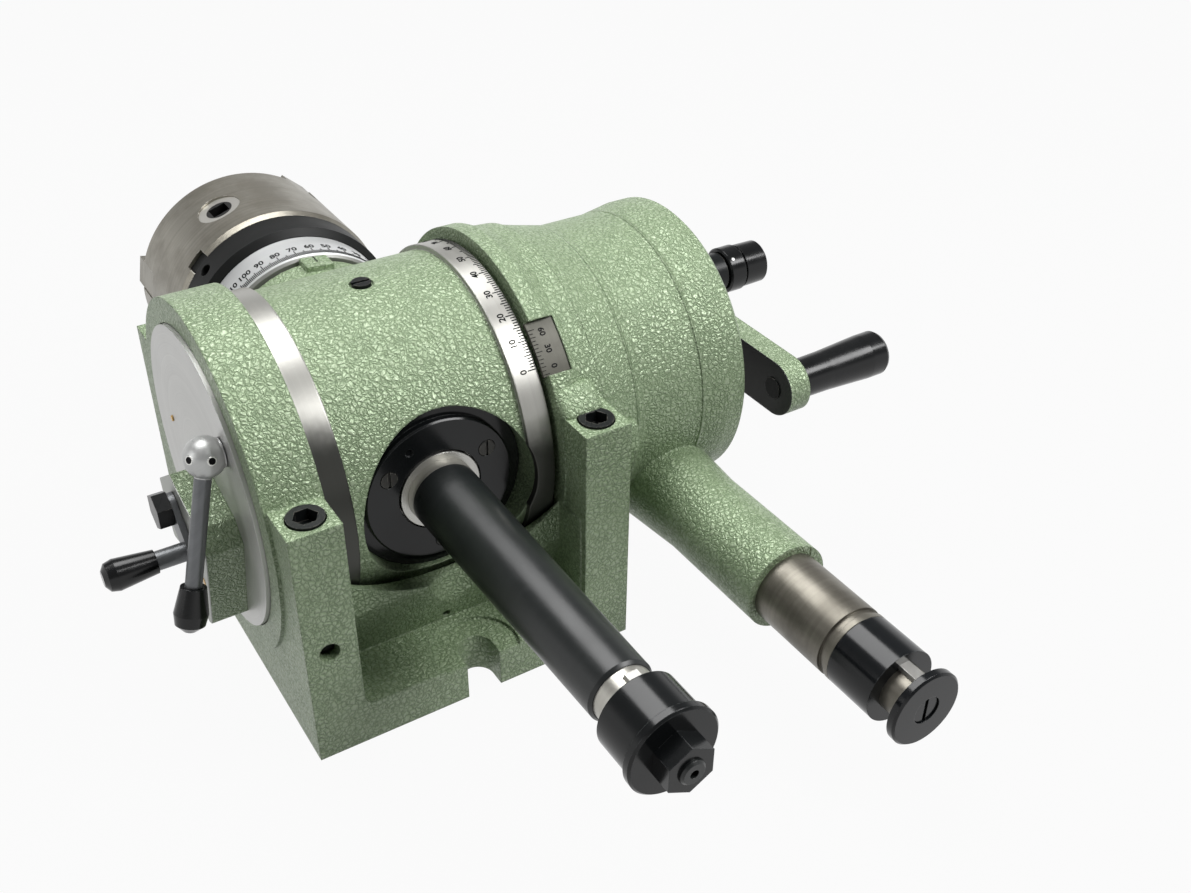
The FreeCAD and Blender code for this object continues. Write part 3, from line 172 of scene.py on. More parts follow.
def hammer_finish_group():
    """Hammered enamel: pale drops with rounded edges, parted by a net of darker sunk lines."""
    tree, given, out = new_group(
        "hammer finish",
        [("Vector", "Vector", None), ("Drop Size", "Float", 0.0025), ("Pale", "Color", None),
         ("Middle", "Color", None), ("Dark", "Color", None)],
        [("Color", "Color"), ("Roughness", "Float"), ("Height", "Float")])
    per_metre = calc(tree, "DIVIDE", 1.0, given["Drop Size"])
    sway = noise(tree, given["Vector"], times(tree, per_metre, 0.8), 2.0, 0.5)
    lean = vector_calc(tree, "SUBTRACT", sway.outputs["Color"], (0.5, 0.5, 0.5))
    push = vector_calc(tree, "SCALE", lean, times(tree, given["Drop Size"], 1.7))
    moved = vector_calc(tree, "ADD", given["Vector"], push)
    cells = tree.nodes.new("ShaderNodeTexVoronoi")
    cells.feature = "DISTANCE_TO_EDGE"
    feed(tree, cells.inputs["Vector"], moved)
    feed(tree, cells.inputs["Scale"], per_metre)
    fine = noise(tree, given["Vector"], times(tree, per_metre, 2.4), 2.0, 0.5)
    broad = noise(tree, given["Vector"], times(tree, per_metre, 0.16), 2.0, 0.5)
    width = ramp_between(tree, broad.outputs["Fac"], 0.35, 0.65, 0.06, 0.13)
    near = calc(tree, "DIVIDE", cells.outputs["Distance"], width)
    ragged = times(tree, calc(tree, "SUBTRACT", fine.outputs["Fac"], 0.5), 0.9)
    line = calc(tree, "SUBTRACT", 1.0, ramp_between(tree, plus(tree, near, ragged), 0.1, 1.0))
    crown = ramp_between(tree, cells.outputs["Distance"], 0.0, 0.42)
    body = mixed(tree, crown, given["Middle"], given["Pale"])
    feed(tree, out["Color"], mixed(tree, times(tree, line, 0.4), body, given["Dark"]))
    feed(tree, out["Roughness"], plus(tree, 0.34, times(tree, line, 0.15)))
    relief = plus(tree, times(tree, crown, 0.5), times(tree, calc(tree, "SUBTRACT", 1.0, line), 0.2))
    skin = plus(tree, times(tree, sway.outputs["Fac"], 0.35), times(tree, fine.outputs["Fac"], 0.42))
    feed(tree, out["Height"], plus(tree, relief, skin))
    return tree


def turned_marks_group():
    """Fine rings that a lathe or grinder leaves about the Z axis of the vector it is given."""
    tree, given, out = new_group(
        "turned marks", [("Vector", "Vector", None), ("Pitch", "Float", 0.0004)],
        [("Tone", "Float"), ("Height", "Float"), ("Smudge", "Float")])
    across, aside, along_axis = axes_of(tree, given["Vector"])
    along = plus(tree, along_axis, distance_of(tree, across, aside))
    per_metre = calc(tree, "DIVIDE", 1.0, given["Pitch"])
    rings = noise(tree, along, per_metre, 3.0, 0.7, one_line=True)
    wide = noise(tree, along, times(tree, per_metre, 0.12), 2.0, 0.5, one_line=True)
    cloud = noise(tree, given["Vector"], 38.0, 4.0, 0.6)
    feed(tree, out["Tone"], plus(tree, times(tree, rings.outputs["Fac"], 0.55),
                                 times(tree, wide.outputs["Fac"], 0.45)))
    feed(tree, out["Height"], rings.outputs["Fac"])
    feed(tree, out["Smudge"], ramp_between(tree, cloud.outputs["Fac"], 0.35, 0.7))
    return tree


def edge_wear_group():
    """How near a point is to an outer edge, broken up so that the wear isn't even. The edges it marks are
    lightened partly as wear and partly as a painted highlight for the glints on chamfers.
    """
    tree, given, out = new_group("edge wear and glint", [("Vector", "Vector", None), ("Reach", "Float", 0.0006)],
                                 [("Worn And Glinting", "Float")])
    soft = tree.nodes.new("ShaderNodeBevel")
    soft.samples = 4
    feed(tree, soft.inputs["Radius"], given["Reach"])
    plain = tree.nodes.new("ShaderNodeNewGeometry")
    differ = tree.nodes.new("ShaderNodeVectorMath")
    differ.operation = "DOT_PRODUCT"
    feed(tree, differ.inputs[0], soft.outputs[0])
    feed(tree, differ.inputs[1], plain.outputs["Normal"])
    patch = noise(tree, given["Vector"], 420.0, 3.0, 0.65)
    turned_away = calc(tree, "SUBTRACT", 1.0, differ.outputs["Value"])
    feed(tree, out["Worn And Glinting"], calc(tree, "MULTIPLY", ramp_between(tree, turned_away, 0.02, 0.16),
                                 ramp_between(tree, patch.outputs["Fac"], 0.42, 0.6), clamp=True))
    return tree


HAMMER = hammer_finish_group()
TURNED = turned_marks_group()
WEAR_AND_GLINT = edge_wear_group()


# ---------------------------------------------------------------- materials

def begin(name):
    material = bpy.data.materials.new(name)
    material.use_nodes = True
    tree = material.node_tree
    shader = tree.nodes["Principled BSDF"]
    place = tree.nodes.new("ShaderNodeTexCoord").outputs["Object"]
    return material, tree, shader, place


def centred(tree, place, centre, turn):
    """Object coordinates moved to a part's centre line and turned so that the line is Z."""
    made = tree.nodes.new("ShaderNodeMapping")
    made.vector_type = "TEXTURE"
    made.inputs["Location"].default_value = centre
    made.inputs["Rotation"].default_value = turn
    feed(tree, made.inputs["Vector"], place)
    return made.outputs[0]


ALONG_X = (0.0, math.pi / 2, 0.0)
ALONG_Y = (math.pi / 2, 0.0, 0.0)
ALONG_Z = (0.0, 0.0, 0.0)
TILT_LINE = ((0.0, 0.0, AXIS_Z), ALONG_X)
SPINDLE_LINE = ((0.0, 0.0, AXIS_Z), ALONG_Y)
SIDE_LINE = ((SIDE_SHAFT[0], 0.0, SIDE_SHAFT[1]), ALONG_Y)


def bump(tree, shader, height, strength, distance, edge):
    """A bump over edges that are a little rounded."""
    soft = tree.nodes.new("ShaderNodeBevel")
    soft.samples = 4
    soft.inputs["Radius"].default_value = edge
    made = tree.nodes.new("ShaderNodeBump")
    made.inputs["Strength"].default_value = strength
    made.inputs["Distance"].default_value = distance
    feed(tree, made.inputs["Height"], height)
    feed(tree, made.inputs["Normal"], soft.outputs[0])
    feed(tree, shader.inputs["Normal"], made.outputs[0])


def hammer_paint(name, bare_where=None, bare=None, ridges=()):
    """Green hammered enamel on cast iron. bare_where builds a mask of faces left without it; bare is
    the low and high colour, the metallic value and the roughness of those faces. ridges are the places
    along x of the parting lines that the casting kept."""
    material, tree, shader, place = begin(name)
    hammer = use_group(tree, HAMMER, Vector=place, Pale=paint(154, 170, 140),
                       Middle=paint(130, 149, 115), Dark=paint(64, 84, 56))
    shader.inputs["IOR"].default_value = 1.58
    if bare_where is None:
        feed(tree, shader.inputs["Base Color"], hammer["Color"])
        feed(tree, shader.inputs["Roughness"], hammer["Roughness"])
        shader.inputs["Metallic"].default_value = PAINT_METALLIC
        height = hammer["Height"]
        for line_x in ridges:
            off = calc(tree, "ABSOLUTE", calc(tree, "SUBTRACT", axes_of(tree, place)[0], line_x))
            height = plus(tree, height, times(tree, ramp_between(tree, off, 0.0, 0.0012, 1.0, 0.0), 2.0))
        bump(tree, shader, height, RELIEF_STRENGTH, RELIEF_DEPTH, 0.0016)
        return material
    low, high, metallic, rough = bare
    mask = bare_where(tree, place)
    painted = calc(tree, "SUBTRACT", 1.0, mask)
    turned = use_group(tree, TURNED, Vector=centred(tree, place, *TILT_LINE), Pitch=0.00035)
    steel = mixed(tree, turned["Tone"], low, high)
    if bare_where is drum_bands:
        # painted shade: the bands turn dark paint(40, 41, 37) towards the bottom, into the cradle
        steel = mixed(tree, oily_below(tree, place), steel, paint(40, 41, 37))
    feed(tree, shader.inputs["Base Color"], mixed(tree, mask, hammer["Color"], steel))
    feed(tree, shader.inputs["Metallic"],
         plus(tree, PAINT_METALLIC, times(tree, mask, metallic - PAINT_METALLIC)))
    ground = plus(tree, rough, times(tree, turned["Tone"], 0.16))
    feed(tree, shader.inputs["Roughness"],
         plus(tree, times(tree, hammer["Roughness"], painted), times(tree, ground, mask)))
    height = plus(tree, times(tree, hammer["Height"], painted),
                  times(tree, times(tree, turned["Height"], 0.002), mask))
    bump(tree, shader, height, RELIEF_STRENGTH, RELIEF_DEPTH, 0.0012)
    return material


def oily_below(tree, place):
    """Painted shade: the drum's bands are darkened towards the bottom, where they run down into the cradle."""
    x, _, z = axes_of(tree, place)
    cloud = noise(tree, place, 55.0, 3.0, 0.6)
    uneven = times(tree, calc(tree, "SUBTRACT", cloud.outputs["Fac"], 0.5), 0.012)
    level = plus(tree, z, times(tree, x, 0.3), uneven)
    return ramp_between(tree, level, AXIS_Z + 0.026, AXIS_Z + 0.045, 0.93, 0.0)


def beyond(axis, limit, above=True):
    """A mask of what lies past one place on an axis, 0 for x, 1 for y, 2 for z."""
    def mask(tree, place):
        return calc(tree, "GREATER_THAN" if above else "LESS_THAN", axes_of(tree, place)[axis], limit)
    return mask


def lever_ball(tree, place):
    """The ball of the lock lever, which is brighter than its rod."""
    reach = vector_calc(tree, "LENGTH", vector_calc(tree, "SUBTRACT", place, BALL), (0, 0, 0))
    return calc(tree, "LESS_THAN", reach, BALL_REACH)


def mandrel_ends(tree, place):
    """The mandrel is ground bright at its root and at the seat for the change gears."""
    root = beyond(1, -0.0737)(tree, place)
    seat = times(tree, beyond(1, -0.226, False)(tree, place), beyond(1, -0.2615)(tree, place))
    return calc(tree, "MAXIMUM", root, seat)


def socket_inside(tree, place):
    """The countersink and the square of a key socket, painted near black as the shade in that recess; place is
    centred on the pinion's own line.
    """
    across, aside, _ = axes_of(tree, place)
    return calc(tree, "LESS_THAN", distance_of(tree, across, aside), KEY_SOCKET_REACH)


def drum_bands(tree, place):
    """The two ground bands round the drum, without its inner faces."""
    x, y, z = axes_of(tree, place)
    radius = distance_of(tree, y, calc(tree, "SUBTRACT", z, AXIS_Z))
    left = calc(tree, "LESS_THAN", x, LEFT_BAND_X)
    right = calc(tree, "GREATER_THAN", x, RIGHT_BAND_X)
    out = calc(tree, "GREATER_THAN", radius, BAND_REACH)
    return calc(tree, "MULTIPLY", calc(tree, "MAXIMUM", left, right), out, clamp=True)


def turned_metal(name, line, low, high, rough=(0.25, 0.4), metallic=0.95, pitch=0.0004, grain=0.05,
                 stain=None, edge=0.0004, worn=None, gloss=0.5, other=None):
    """Bare or blackened steel with lathe rings about a line, and a little stain. other is a mask and
    the low colour, high colour and metallic value of the faces that it marks."""
    material, tree, shader, place = begin(name)
    turned = use_group(tree, TURNED, Vector=centred(tree, place, *line), Pitch=pitch)
    colour = mixed(tree, turned["Tone"], low, high)
    if stain:
        colour = mixed(tree, times(tree, turned["Smudge"], 0.55), colour, stain)
    # edges lightened to the worn colour: partly wear, partly a painted highlight for the glints on chamfers
    if worn:
        wear = use_group(tree, WEAR_AND_GLINT, Vector=place, Reach=0.0007)
        colour = mixed(tree, wear["Worn And Glinting"], colour, worn)
    shader.inputs["Metallic"].default_value = metallic
    if other:
        where, other_low, other_high, other_metallic = other
        mask = where(tree, centred(tree, place, *line) if where is socket_inside else place)
        colour = mixed(tree, mask, colour, mixed(tree, turned["Tone"], other_low, other_high))
        feed(tree, shader.inputs["Metallic"],
             plus(tree, metallic, times(tree, mask, other_metallic - metallic)))
    feed(tree, shader.inputs["Base Color"], colour)
    shader.inputs["Specular IOR Level"].default_value = gloss
    dullness = plus(tree, turned["Tone"], times(tree, turned["Smudge"], 0.4))
    feed(tree, shader.inputs["Roughness"], plus(tree, rough[0], times(tree, dullness, rough[1] - rough[0])))
    bump(tree, shader, turned["Height"], grain, 0.0004, edge)
    return material


def moulded(name, colour, rough, gloss=0.5, edge=0.0005):
    """Hard moulded plastic with a faint flow in its skin."""
    material, tree, shader, place = begin(name)
    cloud = noise(tree, place, 60.0, 3.0, 0.5)
    lighter = tuple(c * 1.7 for c in colour[:3]) + (1.0,)
    feed(tree, shader.inputs["Base Color"], mixed(tree, cloud.outputs["Fac"], colour, lighter))
    feed(tree, shader.inputs["Roughness"],
         ramp_between(tree, cloud.outputs["Fac"], 0.3, 0.7, rough, rough + 0.1))
    shader.inputs["Specular IOR Level"].default_value = gloss
    skin = noise(tree, place, 900.0, 2.0, 0.5)
    bump(tree, shader, skin.outputs["Fac"], 0.08, 0.0002, edge)
    return material


ARM_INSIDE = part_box("crank_arm")[0][0]
BLOCK_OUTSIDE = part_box("trip_block")[0][0]

GREEN = hammer_paint("green hammered enamel")
GREEN_HOUSING = hammer_paint("green enamel with parting lines", ridges=PARTING_LINES)
GREEN_DRUM = hammer_paint("green enamel with ground bands", drum_bands,
                          (paint(150, 149, 144), paint(172, 171, 166), 0.75, 0.27))
GREEN_BLOCK = hammer_paint("green enamel with a milled face", beyond(0, BLOCK_OUTSIDE + FACE_MARGIN, False),
                           (paint(150, 153, 148), paint(176, 178, 172), 0.5, 0.36))
GREEN_ARM = hammer_paint("green enamel with a blackened face", beyond(0, ARM_INSIDE + FACE_MARGIN, False),
                         (paint(13, 16, 18), paint(22, 25, 26), 0.0, 0.3))
COVER_STEEL = turned_metal("turned cover face", TILT_LINE, paint(172, 172, 170), paint(212, 212, 209),
                           rough=(0.34, 0.46), pitch=0.0011, grain=0.12, metallic=0.7)
CHUCK_STEEL = turned_metal("ground chuck steel", SPINDLE_LINE, paint(100, 97, 88), paint(178, 174, 163),
                           rough=(0.26, 0.42), pitch=0.0003, stain=paint(98, 93, 82), metallic=0.8,
                           worn=paint(186, 184, 176))
DIAL_STEEL = turned_metal("satin dial", SPINDLE_LINE, paint(194, 196, 197), paint(216, 217, 216),
                          rough=(0.34, 0.44), metallic=0.6, pitch=0.0003, grain=0.03,
                          other=(beyond(1, 0.0893, False), paint(120, 120, 117), paint(146, 146, 142), 0.6))
BLACK_Y = turned_metal("black oxide turned", SPINDLE_LINE, paint(13, 15, 16), paint(23, 25, 26),
                       rough=(0.13, 0.2), metallic=0.0, pitch=0.0003, grain=0.02, gloss=0.3,
                       worn=paint(66, 68, 69))
BLACK_MATT = turned_metal("matt black back plate", SPINDLE_LINE, paint(12, 13, 13), paint(20, 21, 21),
                          rough=(0.38, 0.5), metallic=0.0, pitch=0.0003, grain=0.04, gloss=0.2)
MANDREL_BLACK = turned_metal("blackened mandrel", SPINDLE_LINE, paint(19, 22, 22), paint(31, 34, 34),
                             rough=(0.24, 0.36), metallic=0.0, pitch=0.0003, grain=0.05, gloss=0.45,
                             other=(mandrel_ends, paint(158, 156, 148), paint(190, 188, 181), 0.8))
DARK_SCREW = turned_metal("dark screw steel", SPINDLE_LINE, paint(44, 44, 42), paint(72, 71, 68),
                          rough=(0.3, 0.4), metallic=0.4, pitch=0.0003, gloss=0.3, worn=paint(128, 126, 120))
BLACK_SIDE = turned_metal("black oxide side", SIDE_LINE, paint(13, 15, 17), paint(22, 24, 26),
                          rough=(0.12, 0.18), metallic=0.0, pitch=0.0003, grain=0.02, gloss=0.3,
                          worn=paint(66, 68, 69))
BLACK_X = turned_metal("black oxide crosswise", TILT_LINE, paint(14, 16, 17), paint(25, 27, 28),
                       rough=(0.22, 0.34), metallic=0.0, pitch=0.0003, grain=0.04, gloss=0.25,
                       worn=paint(104, 101, 94))
STEEL_Y = turned_metal("bright turned steel", SPINDLE_LINE, paint(166, 165, 160), paint(198, 197, 193),
                       rough=(0.2, 0.34), pitch=0.0003, metallic=0.8)
STEEL_SIDE = turned_metal("side shaft steel", SIDE_LINE, paint(92, 89, 81), paint(136, 132, 122),
                          rough=(0.28, 0.42), pitch=0.0003, stain=paint(64, 60, 52), metallic=0.7)
STEEL_X = turned_metal("index plate steel", TILT_LINE, paint(150, 150, 147), paint(184, 184, 181),
                       rough=(0.26, 0.38), pitch=0.0004, grain=0.06, metallic=0.75)
VERNIER_STEEL = turned_metal("worn scale plate", TILT_LINE, paint(66, 65, 58), paint(88, 87, 79),
                             rough=(0.36, 0.48), pitch=0.0003, metallic=0.3, gloss=0.3, stain=paint(46, 44, 37))
SATIN_ROD = turned_metal("satin lever steel", ((0.0, 0.0, 0.0), ALONG_Z), paint(92, 94, 96),
                         paint(124, 126, 128), rough=(0.32, 0.42), metallic=0.6, grain=0.02,
                         other=(lever_ball, paint(176, 177, 176), paint(200, 201, 199), 0.6))
BRONZE = turned_metal("worm wheel bronze", SPINDLE_LINE, paint(168, 124, 62), paint(196, 152, 88),
                      rough=(0.3, 0.4))
PLASTIC = moulded("black moulded plastic", paint(12, 13, 14), 0.15, 0.35)
# black print for the scales and the pointer, and also the painted shade inside the ball's holes
INK_AND_HOLE_SHADE = moulded("filled black marks and painted hole shade", paint(17, 18, 19), 0.62, 0.1, 0.00002)
BRASS = turned_metal("brass pins", TILT_LINE, paint(176, 140, 82), paint(206, 172, 112),
                     rough=(0.26, 0.36))
# a painted highlight on the rims of the ball's holes
RIM_HIGHLIGHT = turned_metal("painted highlight on hole rims", TILT_LINE, paint(196, 196, 192), paint(224, 224, 220),
                          rough=(0.2, 0.3))
WHITE_MARK = moulded("white filled mark", paint(226, 227, 224), 0.5)

FINISHES = {
    "base": GREEN, "end_housing": GREEN_HOUSING, "crank_arm": GREEN_ARM, "trip_block": GREEN_BLOCK,
    "swivel_body": GREEN_DRUM, "right_trunnion": STEEL_X, "left_cover": COVER_STEEL,
    "vernier_plate": VERNIER_STEEL, "clamp_screws": BLACK_X, "oil_plug": BLACK_X, "trip_bolt": BLACK_X,
    "rear_flange": BLACK_Y, "flange_screws": DARK_SCREW, "spindle": STEEL_Y, "worm_wheel": BRONZE,
    "index_dial": DIAL_STEEL, "chuck_back_plate": BLACK_MATT, "chuck_body": CHUCK_STEEL,
    "chuck_scroll": STEEL_Y, "spindle_end_ring": STEEL_Y, "mandrel": MANDREL_BLACK,
    "mandrel_key": STEEL_Y, "mandrel_collar": BLACK_Y, "mandrel_washer": BLACK_Y,
    "mandrel_nut": BLACK_Y, "side_shaft": STEEL_SIDE, "side_bush": STEEL_SIDE,
    "side_collar": BLACK_SIDE, "side_key": STEEL_Y, "side_washer": BLACK_SIDE,
    "side_screw": BLACK_SIDE, "worm": STEEL_X, "worm_gear": STEEL_X, "plate_sleeve": STEEL_X,
    "index_plate": STEEL_X, "sector_arm_a": STEEL_X, "sector_arm_b": STEEL_X,
    "crank_shaft": STEEL_X, "crank_nut": BLACK_X, "handle_stud": BLACK_X, "handle_grip": PLASTIC,
    "plunger_barrel": BLACK_X, "plunger_pin": STEEL_X, "plunger_knob": PLASTIC,
    "lock_lever": SATIN_ROD, "lock_knob": PLASTIC, "trip_lever": SATIN_ROD, "trip_knob": PLASTIC,
}
for number in (1, 2, 3):
    pinion_line = ((0.0, PINION_Y, AXIS_Z),
                   (0.0, math.radians(FIRST_PINION + THIRD_TURN * (number - 1)), 0.0))
    FINISHES[f"pinion_{number}"] = turned_metal(
        f"chuck key socket {number}", pinion_line, paint(176, 174, 167), paint(206, 204, 198),
        rough=(0.24, 0.36), metallic=0.7,
        # the countersink and the square are painted near black as the shade in the recess
        other=(socket_inside, paint(14, 14, 14), paint(24, 23, 22), 0.0))
    FINISHES[f"jaw_{number}"] = CHUCK_STEEL
for name, thing in NODES.items():
    finish = FINISHES.get(name, STEEL_Y)
    for slot_item in thing.material_slots:
        slot_item.material = finish


# ---------------------------------------------------------------- pieces

def piece(name, shape, material, body):
    mesh = bpy.data.meshes.new(name)
    shape.to_mesh(mesh)
    shape.free()
    mesh.materials.append(material)
    made = bpy.data.objects.new(name, mesh)
    scene.collection.objects.link(made)
    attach(made, body)
    return made


def on_drum(radius, x, angle, way, side):
    """A place on a cylinder about the tilt axis: angle from the top towards the rear."""
    def place(point):
        turn = math.radians(angle) + way * point.x / radius
        out = radius + point.z
        return Vector((x + side * point.y, -out * math.sin(turn), AXIS_Z + out * math.cos(turn)))
    return place


def on_dial(radius, y, angle):
    """A place on a cylinder about the spindle: angle from the top towards the crank."""
    def place(point):
        turn = math.radians(angle) + point.x / radius
        out = radius + point.z
        return Vector((out * math.sin(turn), y + point.y, AXIS_Z + out * math.cos(turn)))
    return place


def add_tick(shape, place, width, length):
    """A tick that starts at the place and runs its length up the page."""
    made = bmesh.ops.create_cube(shape, size=1.0)["verts"]
    bmesh.ops.scale(shape, vec=(width, length, INK_THICKNESS), verts=made)
    for vert in made:
        vert.co = place(vert.co + Vector((0.0, length / 2, INK_LIFT)))


def add_number(shape, text, place, height):
    """A number centred on the place, with its foot on the line."""
    curve = bpy.data.curves.new("number", "FONT")
    curve.body = text
    curve.size = height * 1.38
    curve.align_x = "CENTER"
    curve.extrude = INK_THICKNESS / 2
    curve.offset = height * 0.03
    curve.resolution_u = 3
    holder = bpy.data.objects.new("number", curve)
    scene.collection.objects.link(holder)
    bpy.context.view_layer.update()
    solved = holder.evaluated_get(bpy.context.evaluated_depsgraph_get())
    flat = bpy.data.meshes.new_from_object(solved)
    before = set(shape.verts)
    shape.from_mesh(flat)
    for vert in shape.verts:
        if vert not in before:
            vert.co = place(vert.co + Vector((0.0, 0.0, INK_LIFT)))
    bpy.data.objects.remove(holder)
    bpy.data.curves.remove(curve)
    bpy.data.meshes.remove(flat)


# Degrees round the right band of the drum, 0 to 90
drum_scale = bmesh.new()
for degree in range(0, 91):
    angle = 53.4 - degree * 0.984
    length = 0.0046 if degree % 10 == 0 else 0.0038 if degree % 5 == 0 else 0.0026
    add_tick(drum_scale, on_drum(DRUM_INK, 0.0542, angle, -1, -1), 0.00056, length)
    if degree % 10 == 0:
        add_number(drum_scale, str(degree), on_drum(DRUM_INK, 0.0489, angle, -1, -1), 0.0034)
piece("drum_scale", drum_scale, INK_AND_HOLE_SHADE, "swivel")

# Degrees round the spindle dial
dial_scale = bmesh.new()
for degree in range(0, 360):
    angle = 68 - degree
    length = 0.0068 if degree % 10 == 0 else 0.0052 if degree % 5 == 0 else 0.0038
    add_tick(dial_scale, on_dial(DIAL_INK, 0.0902, angle), 0.00056, length)
    if degree % 10 == 0:
        add_number(dial_scale, str(degree), on_dial(DIAL_INK, 0.0978, angle), 0.0041)
piece("dial_scale", dial_scale, INK_AND_HOLE_SHADE, "spindle_unit")

# Minutes on the vernier plate
vernier_scale = bmesh.new()
for step in range(0, 13):
    length = 0.0034 if step % 6 == 0 else 0.0027 if step % 2 == 0 else 0.002
    add_tick(vernier_scale, on_drum(VERNIER_INK, 0.0556, 56.2 - step * 1.24, 1, 1), 0.00034, length)
for text, angle in (("60", 42.6), ("30", 48.4), ("0", 54.2)):
    add_number(vernier_scale, text, on_drum(VERNIER_INK, 0.0611, angle, 1, 1), 0.0031)
piece("vernier_scale", vernier_scale, INK_AND_HOLE_SHADE, "base_body")


def cut_jaw(number):
    """A chuck jaw whose outer end is ground flush with the chuck, as the photographed ones are."""
    jaw = bmesh.new()
    jaw.from_mesh(NODES[f"jaw_{number}"].data)
    bmesh.ops.remove_doubles(jaw, verts=jaw.verts, dist=0.00001)
    turn = math.radians(FIRST_JAW + THIRD_TURN * (number - 1))
    way = Vector((math.sin(turn), 0.0, math.cos(turn)))
    cut = bmesh.ops.bisect_plane(jaw, geom=jaw.verts[:] + jaw.edges[:] + jaw.faces[:], dist=0.000001,
                                 plane_co=Vector((0.0, 0.0, AXIS_Z)) + way * JAW_REACH, plane_no=way,
                                 clear_outer=True)
    rim = [item for item in cut["geom_cut"] if isinstance(item, bmesh.types.BMEdge)]
    bmesh.ops.holes_fill(jaw, edges=rim, sides=0)
    bmesh.ops.recalc_face_normals(jaw, faces=jaw.faces)
    return jaw


for number in (1, 2, 3):
    made = piece(f"jaw_{number}_ground", cut_jaw(number), CHUCK_STEEL, f"jaw_{number}_body")
    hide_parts(f"jaw_{number}")


def soft_block(size, centre, lean, bevel):
    """A cast lug with rounded edges, leaned about the line of the tilt axis."""
    lug = bmesh.new()
    bmesh.ops.create_cube(lug, size=1.0)
    bmesh.ops.scale(lug, vec=size, verts=lug.verts)
    bmesh.ops.bevel(lug, geom=lug.edges[:], offset=bevel, affect="EDGES", segments=3, profile=0.5,
                    material=-1)
    bmesh.ops.rotate(lug, cent=(0, 0, 0), matrix=Matrix.Rotation(math.radians(lean), 3, "X"),
                     verts=lug.verts)
    bmesh.ops.translate(lug, vec=centre, verts=lug.verts)
    for face in lug.faces:
        face.smooth = True
    return lug


# Cast lugs that join the right column to the flange of the cradle and to the housing
for name, size, centre, lean, bevel in (
        ("column_web", (0.0225, 0.019, 0.016), (0.0682, -0.0785, 0.1315), 42, 0.004),
        ("housing_lug", (0.016, 0.018, 0.012), (0.0945, -0.0805, 0.104), 80, 0.003)):
    piece(name, soft_block(size, centre, lean, bevel), GREEN, "base_body")


def round_mark(centre, way, radius, thickness):
    """A small turned disc with a chamfered edge that faces along a direction."""
    disc = bmesh.new()
    bmesh.ops.create_cone(disc, segments=24, radius1=radius, radius2=radius, depth=thickness,
                          cap_ends=True)
    bmesh.ops.bevel(disc, geom=disc.edges[:], offset=thickness * 0.2, affect="EDGES", segments=1,
                    profile=0.5, material=-1)
    turn = Vector(way).to_track_quat("Z", "Y").to_matrix()
    bmesh.ops.rotate(disc, cent=(0, 0, 0), matrix=turn, verts=disc.verts)
    bmesh.ops.translate(disc, vec=centre, verts=disc.verts)
    return disc


# Two holes in the ball, drawn as near-black discs of painted shade inside bright rims of painted highlight, a
# pin in the cover, two dowels in the trip block
OUTWARD = (-1, 0, 0)
for name, way in (("rear", Vector((0.077, -0.948, 0.308))), ("left", Vector((-0.825, -0.424, 0.374)))):
    # a bright ring as the painted highlight on the hole's rim
    rim = round_mark(Vector(BALL) + way * 0.0093, way, 0.0022, 0.0007)
    piece(f"ball_rim_highlight_{name}", rim, RIM_HIGHLIGHT, "lock")
    # a near-black disc as the painted shade inside the hole
    hole_shade = round_mark(Vector(BALL) + way * 0.0095, way, 0.0016, 0.0006)
    piece(f"ball_hole_shade_{name}", hole_shade, INK_AND_HOLE_SHADE, "lock")
piece("cover_pin", round_mark((-0.0922, 0.0465, 0.108), OUTWARD, 0.0016, 0.0012), BRASS, "swivel")
for name, height in (("upper", 0.0885), ("lower", 0.069)):
    dowel = round_mark((-0.11, -0.0365, height), OUTWARD, 0.002, 0.0006)
    piece(f"block_dowel_{name}", dowel, BRASS, "swivel")

# The white dot on the rim of the plunger's knob
PLUNGER_Y, KNOB_REACH = 0.0459, 0.0143
dot_turn = math.radians(39.0)
dot_way = Vector((0.0, -math.sin(dot_turn), math.cos(dot_turn)))
dot_place = Vector((0.2535, PLUNGER_Y, AXIS_Z)) + dot_way * KNOB_REACH
piece("plunger_dot", round_mark(dot_place, dot_way, 0.0011, 0.0004), WHITE_MARK, "plunger")

# The zero line beside the dial, on the cast pointer
pointer_line = bmesh.new()
add_tick(pointer_line, on_dial(0.0563, 0.0795, 4.8), 0.0005, 0.0072)
piece("pointer_line", pointer_line, INK_AND_HOLE_SHADE, "swivel")


# ---------------------------------------------------------------- floor, light and camera

def seen_share(tree):
    """1 for camera, glossy and transmission rays, which see white, and 0 for the rays that light."""
    light_path = tree.nodes.new("ShaderNodeLightPath")
    return calc(tree, "MAXIMUM", light_path.outputs["Is Camera Ray"], calc(
        tree, "MAXIMUM", light_path.outputs["Is Glossy Ray"], light_path.outputs["Is Transmission Ray"]))


def pale_floor():
    """A floor that is seen as white and keeps the part's shadow."""
    shape = bmesh.new()
    bmesh.ops.create_grid(shape, x_segments=1, y_segments=1, size=6.0)
    mesh = bpy.data.meshes.new("floor")
    shape.to_mesh(mesh)
    shape.free()
    floor = bpy.data.objects.new("floor", mesh)
    scene.collection.objects.link(floor)
    material = bpy.data.materials.new("pale floor")
    material.use_nodes = True
    tree = material.node_tree
    shader = tree.nodes["Principled BSDF"]
    shader.inputs["Base Color"].default_value = (0.16, 0.16, 0.16, 1.0)
    shader.inputs["Roughness"].default_value = 0.9
    glow = tree.nodes.new("ShaderNodeEmission")
    glow.inputs["Color"].default_value = (1.0, 1.0, 1.0, 1.0)
    glow.inputs["Strength"].default_value = 1.0
    blend_in = tree.nodes.new("ShaderNodeMixShader")
    feed(tree, blend_in.inputs[0], times(tree, seen_share(tree), 0.95))
    feed(tree, blend_in.inputs[1], shader.outputs[0])
    feed(tree, blend_in.inputs[2], glow.outputs[0])
    feed(tree, tree.nodes["Material Output"].inputs["Surface"], blend_in.outputs[0])
    floor.data.materials.append(material)


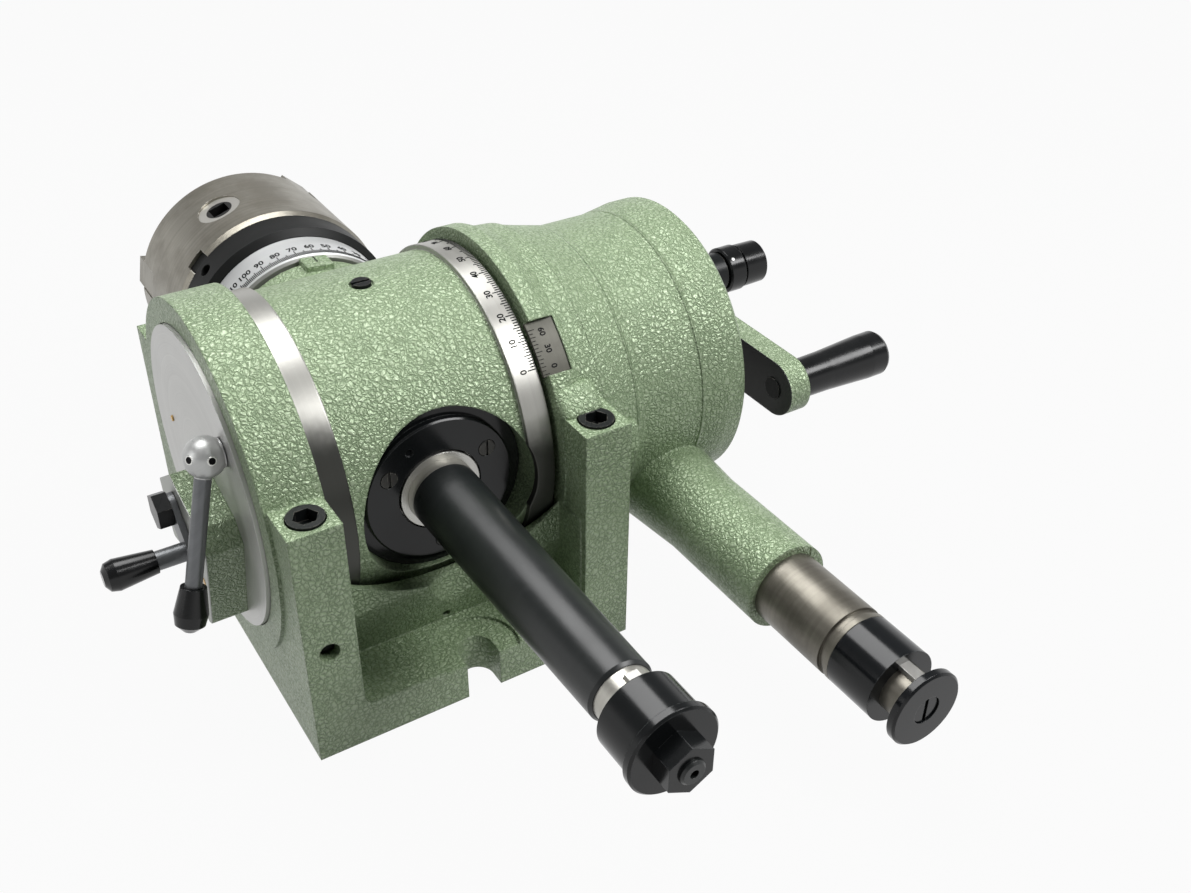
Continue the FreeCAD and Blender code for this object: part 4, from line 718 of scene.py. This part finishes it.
def white_world():
    """Seen as white, darker overhead for the metals, and dim where it lights."""
    world = bpy.data.worlds.new("studio")
    scene.world = world
    world.use_nodes = True
    tree = world.node_tree
    tree.nodes.clear()
    around = tree.nodes.new("ShaderNodeBackground")
    around.inputs["Color"].default_value = (1.0, 1.0, 1.0, 1.0)
    around.inputs["Strength"].default_value = 0.035
    behind = tree.nodes.new("ShaderNodeBackground")
    behind.inputs["Color"].default_value = (1.0, 1.0, 1.0, 1.0)
    upward = axes_of(tree, tree.nodes.new("ShaderNodeTexCoord").outputs["Generated"])[2]
    feed(tree, behind.inputs["Strength"], ramp_between(tree, upward, 0.12, 0.42, 1.0, 0.25))
    blend_in = tree.nodes.new("ShaderNodeMixShader")
    feed(tree, blend_in.inputs[0], seen_share(tree))
    feed(tree, blend_in.inputs[1], around.outputs[0])
    feed(tree, blend_in.inputs[2], behind.outputs[0])
    feed(tree, tree.nodes.new("ShaderNodeOutputWorld").inputs["Surface"], blend_in.outputs[0])


def softbox(name, place, aim, size, power):
    lamp = bpy.data.lights.new(name, "AREA")
    lamp.shape = "RECTANGLE"
    lamp.size, lamp.size_y = size
    lamp.energy = power
    holder = bpy.data.objects.new(name, lamp)
    scene.collection.objects.link(holder)
    holder.location = place
    holder.rotation_euler = (Vector(aim) - Vector(place)).to_track_quat("-Z", "Y").to_euler()


def camera():
    """The photograph's own view, fitted to its edges and circles."""
    lens = bpy.data.cameras.new("photo view")
    lens.sensor_fit = "HORIZONTAL"
    lens.sensor_width = 36.0
    lens.lens = 39.51
    lens.clip_start = 0.01
    holder = bpy.data.objects.new("photo view", lens)
    scene.collection.objects.link(holder)
    right = Vector((0.84539, -0.53406, 0.00978))
    up = Vector((0.29713, 0.48540, 0.82226))
    back = Vector((-0.44388, -0.69223, 0.56903))
    turn = Matrix((right, up, back)).transposed()
    holder.matrix_world = Matrix.Translation((-0.20851, -0.52941, 0.47262)) @ turn.to_4x4()
    scene.camera = holder


pale_floor()
white_world()
softbox("overhead", (0.05, 0.4, 1.25), (0.04, 0.0, AXIS_Z), (1.0, 0.7), 17.0)
softbox("rear right", (0.70, -0.66, 1.06), (0.04, 0.0, AXIS_Z), (0.7, 0.6), 16.0)
softbox("left", (-1.15, 0.05, 0.65), (0.0, 0.0, AXIS_Z), (0.7, 0.5), 3.0)
camera()
scene.view_settings.view_transform = "Standard"
